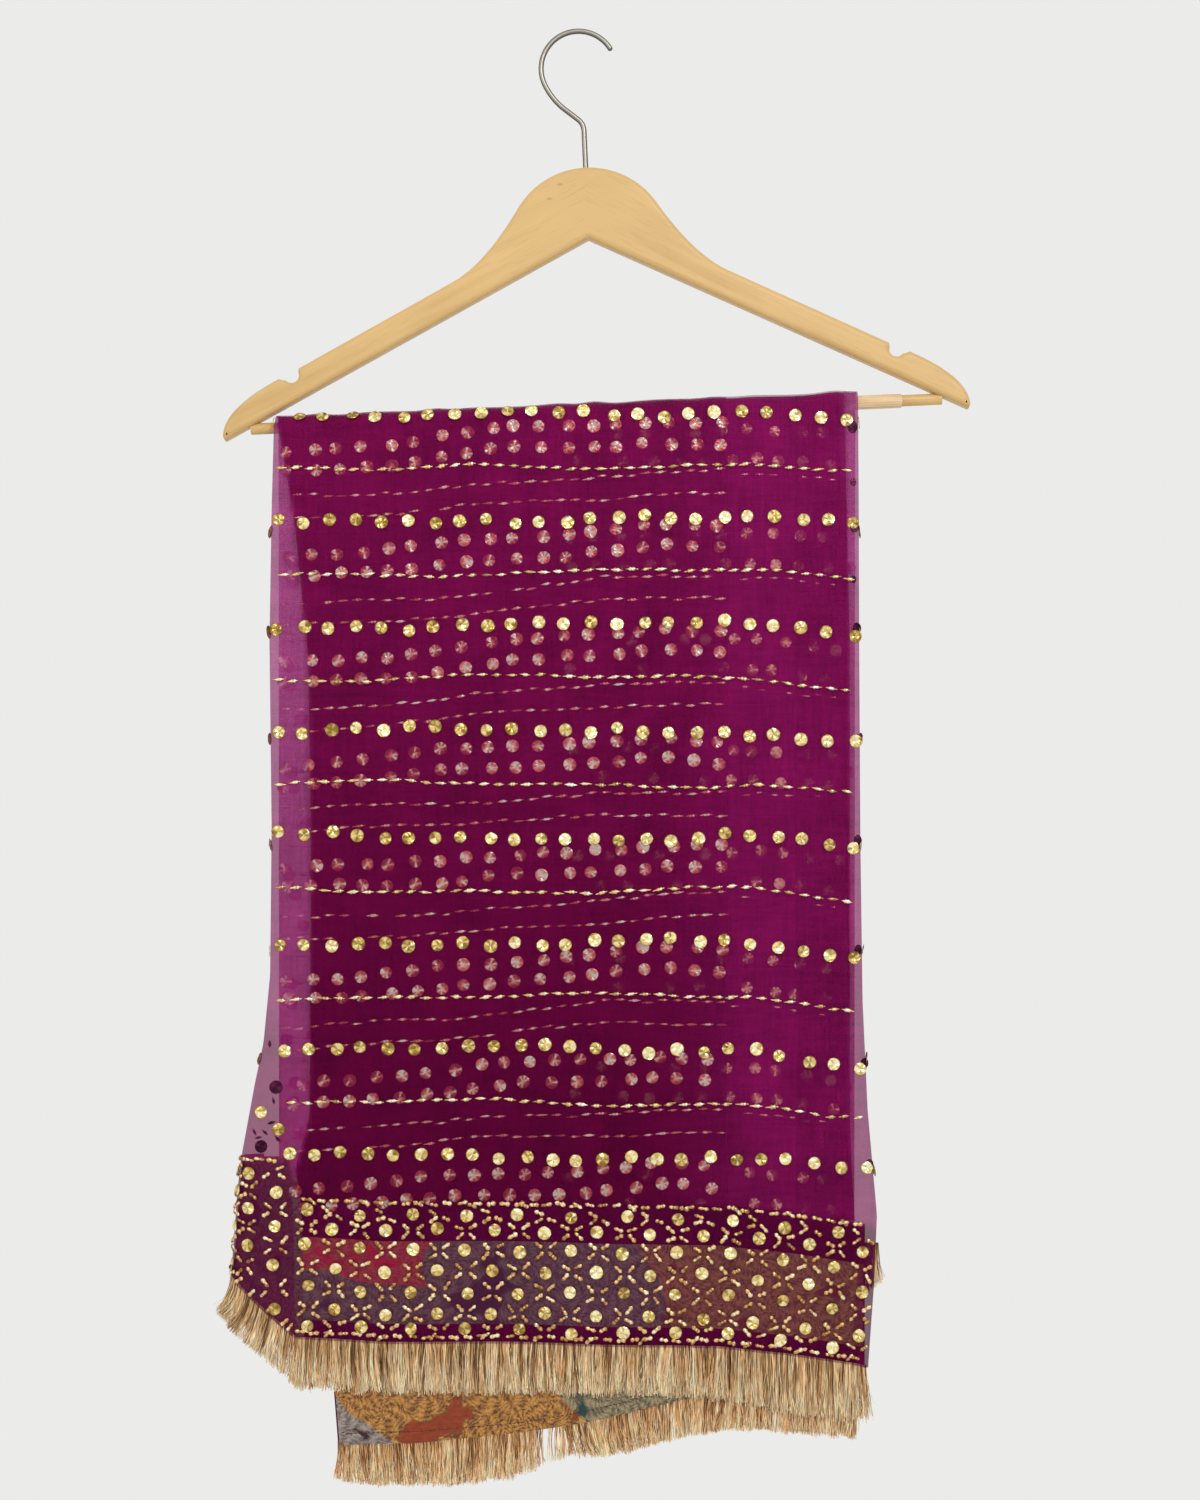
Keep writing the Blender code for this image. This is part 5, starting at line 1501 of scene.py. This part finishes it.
def lattice_cells(width, rows, top, phase, pick):
    """Places of the border's sequins and of its dashes: across, above the hem and lean."""
    sequins = []
    dashes = []
    for index, above in enumerate(rows):
        start = phase - (DIAMOND_WIDTH / 2 if index % 2 else 0.0)
        below = rows[index - 1] if index else -above
        ahead = rows[index + 1] if index + 1 < len(rows) else 2.0 * above - below
        for across in np.arange(start - DIAMOND_WIDTH, width + DIAMOND_WIDTH, DIAMOND_WIDTH):
            sequins.append((across, above))
            for reach in (ahead - above, below - above):
                for share in (0.24, 0.74):
                    x = across + DIAMOND_WIDTH / 2 * (1.0 - share)
                    dashes.append((x, above + reach * share, math.atan2(-reach, DIAMOND_WIDTH / 2)))
    for above, offset in ((top, 0.0), (BORDER_FOOT, 3.0 * MM)):
        dashes += [(across + offset, above, 0.0) for across in np.arange(0.0, width, EDGE_DASH_STEP)]
    sequins = np.array(sequins) + (pick.random((len(sequins), 2)) * 2.0 - 1.0) * 1.3 * MM
    dashes = np.array(dashes)
    dashes = dashes[(dashes[:, 1] > 3.5 * MM) & (dashes[:, 1] < top + 1.0 * MM)]
    dashes[:, :2] += (pick.random((len(dashes), 2)) * 2.0 - 1.0) * 0.7 * MM
    dashes[:, 2] += (pick.random(len(dashes)) * 2.0 - 1.0) * 0.25
    return sequins, dashes


def fit_flap(cells, marks):
    """Keeps what lies above the flap's climbing hem, and adds a line of dashes along that hem."""
    cells = cells[cells[:, 1] > flap_rise(cells[:, 0]) + 7.0 * MM]
    marks = marks[marks[:, 1] > flap_rise(marks[:, 0]) + 4.0 * MM]
    foot = np.arange(2.0 * MM, FLAP_WIDTH, EDGE_DASH_STEP)
    rise = flap_rise(foot + MM) - flap_rise(foot)
    foot = np.stack([foot, flap_rise(foot) + BORDER_FOOT, -np.arctan2(rise, MM)], axis=1)
    return cells, np.concatenate([marks, foot])


def inside_width(places, width, margin):
    """The places that keep clear of both ends of a stretch."""
    return places[(places[:, 0] > margin) & (places[:, 0] < width - margin)]


def build_border(kit, prefix, surface, width, rows, top, phase, flip=1.0):
    """The lattice on one stretch: surface(across, down) with across from 0 to width."""
    cells, marks = lattice_cells(width, rows, top, phase, kit.pick)
    if prefix == "flap":
        cells, marks = fit_flap(cells, marks)
    cells = inside_width(cells, width, 2.0 * MM)
    marks = inside_width(marks, width, 0.5 * MM)
    middle, across, down, out = frames_on(surface, cells[:, 0], -cells[:, 1])
    spots = lifted((middle, across, down * flip, out * flip), 0.4 * MM)
    spots = turn_spots(spots, kit.pick.random(len(cells)) * FULL_TURN)
    scatter(kit, f"{prefix}_border_sequins", kit.sequins, spots, sequin_sizes(kit, spots), kit.gold, 0.15)
    spots = turn_spots(frames_on(surface, marks[:, 0], -marks[:, 1]), -marks[:, 2])
    spots = lifted((*spots[:2], spots[2] * flip, spots[3] * flip), 0.25 * MM)
    scatter(kit, f"{prefix}_border_dashes", kit.beads, spots,
            dash_sizes(kit, spots, LATTICE_DASH, LATTICE_DASH_WIDTH), kit.gold_beads, 0.1, flat=False)


def front_border_point(across, down):
    """The face's border, which runs on round the right side fold."""
    start = FRONT_HEM[0][0] * MM
    z = front_hem(start + across) - down
    crease = read_table(LEFT_EDGE, z, 2)
    x = crease + (right_edge(z) - ROLL_RADIUS - crease) * across / FRONT_BORDER_WIDTH
    return cloth_point(x, way_at(x, z))


def flap_rise(across):
    """How far the flap's hem has climbed, at a way round from the face's crease."""
    return flap_hem(math.pi / 2 + across / FLAP_GIRTH) - FRONT_HEM[0][1] * MM


def flap_border_point(across, down):
    """The flap's border, in level rows that carry on those of the face."""
    return flap_point(math.pi / 2 + across / FLAP_GIRTH, FRONT_HEM[0][1] * MM - down)


def tail_border_point(across, down):
    """The second end's border, on the side that faces back."""
    x = TAIL_LEFT[1] + across
    return cloth_point(x, way_at(x, tail_hem(x) - down), TAIL_INSET)


def build_borders(kit):
    """The lattice on the face, round the open side fold and on the second end."""
    build_border(kit, "front", front_border_point, FRONT_BORDER_WIDTH, BORDER_ROWS, BORDER_HEIGHT,
                 BORDER_PHASE)
    build_border(kit, "flap", flap_border_point, FLAP_WIDTH, BORDER_ROWS + FLAP_ROWS, FLAP_LATTICE_TOP,
                 -BORDER_PHASE, -1.0)
    build_border(kit, "tail", tail_border_point, TAIL_BORDER_WIDTH, BORDER_ROWS[:5], TAIL_LATTICE_TOP,
                 BORDER_PHASE, -1.0)


def build_edge_sequins(kit):
    """Sequins at the very side folds, seen from their edge."""
    spots = []
    for row in range(FRONT_ROWS):
        z = FIRST_ROW - ROW_PITCH * row - 5.0 * MM * kit.pick.random() - 4.0 * MM
        left = curl_place(math.radians(178), z)
        right = roll_place(0.5, right_edge(z))
        for (x, inset), side in ((left, -1.0), (right, 1.0)):
            out = np.array([[side, 0.0, 0.0]])
            point = cloth_point(x, way_at(x, z), inset)[None] + out * 0.4 * MM
            spots.append((point, np.array([[0.0, side, 0.0]]), np.array([[0.0, 0.0, -1.0]]), out))
    spots = join_spots(spots)
    scatter(kit, "edge_sequins", kit.sequins, spots, sequin_sizes(kit, spots), kit.gold, 0.25)


def flap_spots(places, behind):
    """Spots on the open side fold at places given by X and height, some way behind its near wall."""
    x, z = np.array(places).T * MM
    crease = read_table(LEFT_EDGE, z, 2)
    width = crease - read_table(LEFT_EDGE, z, 1)
    angles = np.arccos(np.clip((x - crease) / width, -0.99, 0.0))
    x, inset = curl_place(angles, z)
    count = len(x)
    return (cloth_point(x, way_at(x, z), inset + behind), np.tile((1.0, 0.0, 0.0), (count, 1)),
            np.tile((0.0, 0.0, -1.0), (count, 1)), np.tile((0.0, -1.0, 0.0), (count, 1)))


def build_flap_marks(kit):
    """Sequins on the open side fold, and backs of sequins and stitches seen through it, dark with painted
    shade as they are lit from behind.
    """
    spots = flap_spots(FLAP_SEQUINS, -0.5 * MM)
    scatter(kit, "flap_sequins", kit.sequins, spots, sequin_sizes(kit, spots), kit.gold, 0.1)
    spots = flap_spots(FLAP_BACKS, -0.2 * MM)
    sizes = sequin_sizes(kit, spots, SEQUIN_RADIUS, 0.2)
    scatter(kit, "flap_sequin_backs", kit.sequins, spots, sizes, kit.shade, 0.02)
    spots = turn_spots(flap_spots(FLAP_STITCHES, -0.1 * MM), kit.pick.random(len(FLAP_STITCHES)) * 3.0)
    sizes = dash_sizes(kit, spots, DASH_LENGTH * 0.7, DASH_WIDTH * 0.8, 0.4 * MM)
    scatter(kit, "flap_stitch_backs", kit.dashes, spots, sizes, kit.shade, 0.02)


def build_right_marks(kit):
    """Backs of sequins on the cloth that turns in behind the right side fold, dark with painted shade as they
    are lit from behind.
    """
    x, z, size = np.array(RIGHT_BACKS).T
    x, z = x * MM, z * MM
    spots = lifted(frames_on(cloth_point, x, way_at(x, z)), 0.12 * MM)
    sizes = [(SEQUIN_RADIUS * 0.75 * share, SEQUIN_RADIUS * share, 0.4 * MM) for share in size]
    scatter(kit, "right_sequin_backs", kit.sequins, spots, sizes, kit.shade, 0.02)


def strip_point(x, z):
    return cloth_point(x, way_at(x, z), TAIL_BROCADE_INSET - 0.1 * MM)


def build_tail_seam(kit):
    """The line of stitches that holds the brocade strip near the second end's hem."""
    x = np.arange(TAIL_LEFT[1] + 3.0 * MM, TAIL_RIGHT[1] - 3.0 * MM, TAIL_SEAM_STEP)
    spots = frames_on(strip_point, x, tail_hem(x) + TAIL_SEAM_ABOVE + 0.5 * MM * np.sin(x / (24.0 * MM)))
    sizes = [(2.3 * MM, 0.7 * MM, 0.5 * MM)] * len(x)
    scatter(kit, "tail_seam", kit.dashes, spots, sizes, kit.seam, 0.02, flat=False)


# Fringe


class Strands:
    """A fringe's strands, gathered into clumps and into finer locks, each with its own sway."""

    def __init__(self, pick, width, per_mm, sparse):
        count = int(width / MM * per_mm)
        across = np.sort(pick.random(count)) * width
        if sparse is not None:
            across = across[pick.random(count) > sparse(across)]
            count = len(across)
        self.across = across
        self.count = count
        clumps = int(width / CLUMP_STEP) + 3
        spot = np.round(across / CLUMP_STEP + (pick.random(count) - 0.5) * 0.9)
        self.clump = np.clip(spot, 0, clumps - 1).astype(int)
        self.clump_sway = pick.random(clumps) * 2.0 - 1.0
        self.clump_curl = pick.random(clumps) * 2.0 - 1.0
        self.clump_length = 0.93 + 0.10 * pick.random(clumps)
        clump_tone = 0.26 * (pick.random(clumps) - 0.5)
        spot = across / LOCK_STEP + (pick.random(count) - 0.5) * 0.5
        self.lock = np.clip(spot, 0, None).astype(int)
        lock_tone = pick.random(self.lock.max() + 1) - 0.5
        self.lock_sway = pick.random(self.lock.max() + 1) * 2.0 - 1.0
        self.tone = clump_tone[self.clump] + 0.75 * lock_tone[self.lock]


def edge_frame(edge, across):
    """Points on an edge, with the level directions along it and outward."""
    ahead = edge(across + MM) - edge(across - MM)
    ahead[:, 2] = 0.0
    ahead /= np.linalg.norm(ahead, axis=1, keepdims=True)
    return edge(across), ahead, np.stack([ahead[:, 1], -ahead[:, 0], 0.0 * ahead[:, 0]], axis=1)


def strand_rings(strands, edge, length_at, lean, pick):
    """Rings of three points down every strand, and the turn that each strand starts with."""
    clump, count = strands.clump, strands.count
    root, ahead, normal = edge_frame(edge, strands.across)
    drawn_in = (clump * CLUMP_STEP - strands.across) * 0.18
    wild = (pick.random(count) > 0.965) * (pick.random(count) - 0.5) * 11.0 * MM
    stray = (pick.random(count) - 0.5) * 4.8 * MM + wild
    sway = (strands.clump_sway[clump] + strands.lock_sway[strands.lock]) * 1.3 * MM
    pull = drawn_in + sway + lean(strands.across) + stray
    curl = (strands.clump_curl[clump] * 0.8 + (pick.random(count) - 0.5)) * 1.3 * MM
    share = strands.clump_length[clump] * (0.90 + 0.13 * pick.random(count))
    length = FRINGE_TUCK + length_at(strands.across) * share
    thick = (pick.random(count) - 0.5) * 1.5 * MM
    puff = (0.2 + pick.random(count)) * 0.8 * MM
    phase = pick.random(count) * FULL_TURN
    rings = []
    for t in np.linspace(0.0, 1.0, STRAND_STATIONS):
        sideways = pull * t ** 1.5 + curl * math.sin(math.pi * t) + 0.25 * MM * np.sin(phase + 7.0 * t) * t
        forward = thick * (0.4 + 0.6 * t) + puff * math.sin(math.pi * min(1.0, t * 1.1)) * 0.6
        centre = root + ahead * sideways[:, None] + normal * forward[:, None]
        centre[:, 2] -= length * t * (1.0 - 0.02 * t * np.abs(pull) / MM)
        size = STRAND_RADIUS * (1.0 - 0.3 * t)
        ring = []
        for side in range(3):
            angle = 2.0 * math.pi * side / 3 + phase
            sideways, forward = np.cos(angle)[:, None] * size, np.sin(angle)[:, None] * size
            ring.append(centre + ahead * sideways + normal * forward)
        rings.append(np.stack(ring, axis=1))
    return np.stack(rings, axis=1), phase


def build_fringe(kit, name, edge, width, length_at, per_mm, look, replaced, lean, sparse=None):
    """Yarn strands that hang from an edge; edge(across) gives its points."""
    material, tones = look
    pick = kit.pick
    strands = Strands(pick, width, per_mm, sparse)
    rings, phase = strand_rings(strands, edge, length_at, lean, pick)
    starts = np.arange(strands.count) * 3 * STRAND_STATIONS
    faces = grid_faces(STRAND_STATIONS, 3, closed=True)[None] + starts[:, None, None]
    stations = np.linspace(0.0, 1.0, STRAND_STATIONS)[None]
    bright = 0.50 + 0.85 * (pick.random(strands.count) - 0.5) + strands.tone
    # Painted glints along some strands, and painted shade at the roots, lighter towards the tips
    glint = 0.35 * np.sin(stations * 9.0 + phase[:, None]) * (pick.random(strands.count) > 0.5)[:, None]
    shade = bright[:, None] + glint + 0.5 * (stations - 0.45)
    fringe = add_mesh(name, rings, faces.reshape(-1, 4), [material])
    paint(fringe, np.repeat(tone_between(tones, shade)[:, :, None, :], 3, axis=2))
    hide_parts(replaced)
    return fringe


def straight(across):
    """A slow sideways wave of a fringe's tips."""
    return 0.5 * MM * np.sin(across / (19.0 * MM)) + 0.8 * MM * np.sin(across / (47.0 * MM))


def build_front_fringe(kit):
    left = LEFT_EDGE[-1][2] * MM
    width = RIGHT_EDGE[-1][1] * MM - left - 1.0 * MM

    def edge(across):
        x = left + across
        return cloth_point(x, way_at(x, front_hem(x) + FRINGE_TUCK), 0.5 * MM)

    def length(across):
        return read_table(FRONT_FRINGE_LENGTHS, left + across, 1)

    def lean(across):
        left_flare = np.exp(-across / (11.0 * MM))
        right_flare = np.exp((across - width) / (9.0 * MM))
        return straight(across) + (3.0 * right_flare - 4.0 * left_flare) * MM

    return build_fringe(kit, "front_yarn_fringe", edge, width, length, FRONT_STRANDS_PER_MM, kit.yarn,
                        "front_fringe", lean)


def build_tail_fringe(kit):
    left = TAIL_LEFT[1]

    def edge(across):
        x = left + across
        return cloth_point(x, way_at(x, tail_hem(x) + FRINGE_TUCK), (TAIL_INSET + TAIL_BROCADE_INSET) / 2)

    def length(across):
        return read_table(TAIL_FRINGE_LENGTHS, left + across, 1)

    def gap(across):
        return 0.86 * np.exp(-((left + across + 22.0 * MM) / (13.0 * MM)) ** 2)

    def lean(across):
        x = left + across
        swept = smooth((x + 20.0 * MM) / (20.0 * MM)) * smooth((80.0 * MM - x) / (70.0 * MM))
        return straight(across) + 4.5 * MM * swept

    return build_fringe(kit, "tail_yarn_fringe", edge, TAIL_BORDER_WIDTH, length, TAIL_STRANDS_PER_MM,
                        kit.tail_yarn, "tail_fringe", lean, gap)


def build_flap_fringe(kit):
    def edge(across):
        angle = math.radians(200) - across / FLAP_GIRTH
        z = flap_hem(angle) + FRINGE_TUCK + 0.8 * MM
        x, inset = curl_place(angle, z)
        return cloth_point(x, way_at(x, z), inset + 0.5 * MM)

    def lean(across):
        return -8.0 * MM * smooth((FLAP_WIDTH - across) / (24.0 * MM)) - 3.0 * MM

    return build_fringe(kit, "flap_yarn_fringe", edge, FLAP_WIDTH,
                        lambda across: FLAP_FRINGE_LENGTH + 0.0 * across, FLAP_STRANDS_PER_MM, kit.yarn,
                        "flap_fringe", lean)


def build_side_fringe(kit):
    def edge(across):
        x = SIDE_FRINGE_LEFT + across
        return cloth_point(x, way_at(x, SIDE_FRINGE_TOP + 0.0 * x), 2.6 * MM)

    return build_fringe(kit, "side_yarn_fringe", edge, SIDE_FRINGE_WIDTH,
                        lambda across: SIDE_FRINGE_LENGTH - 0.8 * across, SIDE_STRANDS_PER_MM, kit.yarn,
                        "side_fringe", lambda across: 1.5 * MM + 0.0 * across)


# Stage, light and camera


def area_light(name, where, target, size, power):
    light = bpy.data.lights.new(name, "AREA")
    light.shape = "DISK"
    light.size = size
    light.energy = power
    obj = bpy.data.objects.new(name, light)
    obj.location = where
    obj.rotation_euler = (Vector(target) - Vector(where)).to_track_quat("-Z", "Y").to_euler()
    bpy.context.scene.collection.objects.link(obj)


def build_floor():
    """A plain pale disc, well below the cloth."""
    material, tree, shader = new_material("pale_floor", roughness=0.8)
    grain = noise(tree, place(tree), 3.0, 2.0)
    tree.links.new(ramp(tree, grain, FLOOR_TONES), shader.inputs["Base Color"])
    turn = np.linspace(0.0, 2.0 * math.pi, FLOOR_SIDES, endpoint=False)
    rings = []
    for radius in (0.01, FLOOR_RADIUS):
        height = np.full_like(turn, FLOOR_HEIGHT)
        rings.append(np.stack([radius * np.cos(turn), radius * np.sin(turn), height], axis=1))
    faces = [tuple(map(int, face)) for face in grid_faces(2, FLOOR_SIDES, closed=True)]
    mesh = bpy.data.meshes.new("floor")
    mesh.from_pydata(np.concatenate(rings).tolist(), [], faces + [tuple(range(FLOOR_SIDES))])
    mesh.materials.append(material)
    floor = bpy.data.objects.new("floor", mesh)
    bpy.context.scene.collection.objects.link(floor)


def build_stage():
    """Soft studio light over a pale floor."""
    bpy.context.scene.view_settings.view_transform = "Standard"
    world = bpy.data.worlds.new("studio")
    world.use_nodes = True
    set_inputs(world.node_tree.nodes["Background"], {"Color": (*PALE_STAGE, 1.0), "Strength": 1.0})
    bpy.context.scene.world = world
    build_floor()
    for light in LIGHTS:
        area_light(*light)


def build_camera():
    """A level camera in front, whose height of view at the cloth is the photograph's."""
    data = bpy.data.cameras.new("camera")
    data.sensor_fit = "VERTICAL"
    data.sensor_height = 24.0
    data.lens = data.sensor_height * CAMERA_DISTANCE / VIEW_HEIGHT
    camera = bpy.data.objects.new("camera", data)
    camera.location = (VIEW_MIDDLE[0], CLOTH_PLANE - CAMERA_DISTANCE, VIEW_MIDDLE[1])
    camera.rotation_euler = (math.radians(90), 0.0, 0.0)
    bpy.context.scene.collection.objects.link(camera)
    bpy.context.scene.camera = camera


def build_hanger():
    """The hanger, whose bar keeps its own CAD mesh."""
    wood = wood_material()
    bar = bpy.data.objects["hanger_bar"].data
    bar.materials.clear()
    bar.materials.append(wood)
    build_arms(wood)
    build_sleeve(sleeve_material())
    build_hook(steel_material())


def sewing_kit():
    """The shapes and looks of the embroidery and fringe, with the source of random choices."""
    pick = np.random.default_rng(SEED)
    foil = toned_material("gold_foil", 0.27, 0.85, (700.0, 700.0, 700.0), 0.12 * MM, 0.15)
    thread = toned_material("gold_thread", 0.30, 0.7, (900.0, 900.0, 500.0), 0.15 * MM, 0.3)
    veiled = toned_material("veiled_foil", 0.27, 0.5, (520.0, 520.0, 520.0), 0.35 * MM, 0.2)
    yarn = toned_material("fringe_yarn", 0.38, 0.35, (700.0, 700.0, 130.0), 0.1 * MM, 0.22)
    return SimpleNamespace(
        pick=pick,
        sequins=[sequin_shape(pick) for _ in range(SEQUIN_SHAPES)],
        spoked=[sequin_shape(pick, spoked=True) for _ in range(SEQUIN_SHAPES)],
        dashes=[dash_shape(pick) for _ in range(DASH_SHAPES)],
        beads=[bead_shape(pick) for _ in range(DASH_SHAPES)],
        gold=(foil, GOLD_TONES),
        shade=(foil, SHADE_TONES),
        gold_thread=(thread, THREAD_TONES),
        gold_beads=(thread, BEAD_TONES),
        seam=(thread, SEAM_TONES),
        near=(veiled, VEILED_TONES),
        deep=(veiled, DEEP_TONES),
        yarn=(yarn, YARN_TONES),
        tail_yarn=(yarn, TAIL_YARN_TONES),
    )


def main():
    build_camera()
    build_stage()
    build_hanger()
    dense = organza_material("dense_organza", 1.0)
    veil = build_veil(organza_material("lined_organza", FACE_ALPHA),
                      organza_material("sheer_organza", STRIP_ALPHA))
    layers = build_layers(dense)
    tail, tail_strip = build_tail(dense, brocade_material("tail_brocade", TAIL_PATCHES, TAIL_PATCH_LEAN))
    backing, strip = build_front_brocade(
        dense, brocade_material("front_brocade", FRONT_PATCHES, FRONT_PATCH_LEAN))
    flap_strip = build_flap_brocade(brocade_material("flap_brocade", FLAP_PATCHES, 0.0))
    kit = sewing_kit()
    build_rows(kit)
    build_wing_ghosts(kit)
    build_layer_ghosts(kit)
    build_borders(kit)
    build_edge_sequins(kit)
    build_flap_marks(kit)
    build_right_marks(kit)
    build_tail_seam(kit)
    front_fringe = build_front_fringe(kit)
    tail_fringe = build_tail_fringe(kit)
    flap_fringe = build_flap_fringe(kit)
    side_fringe = build_side_fringe(kit)


main()
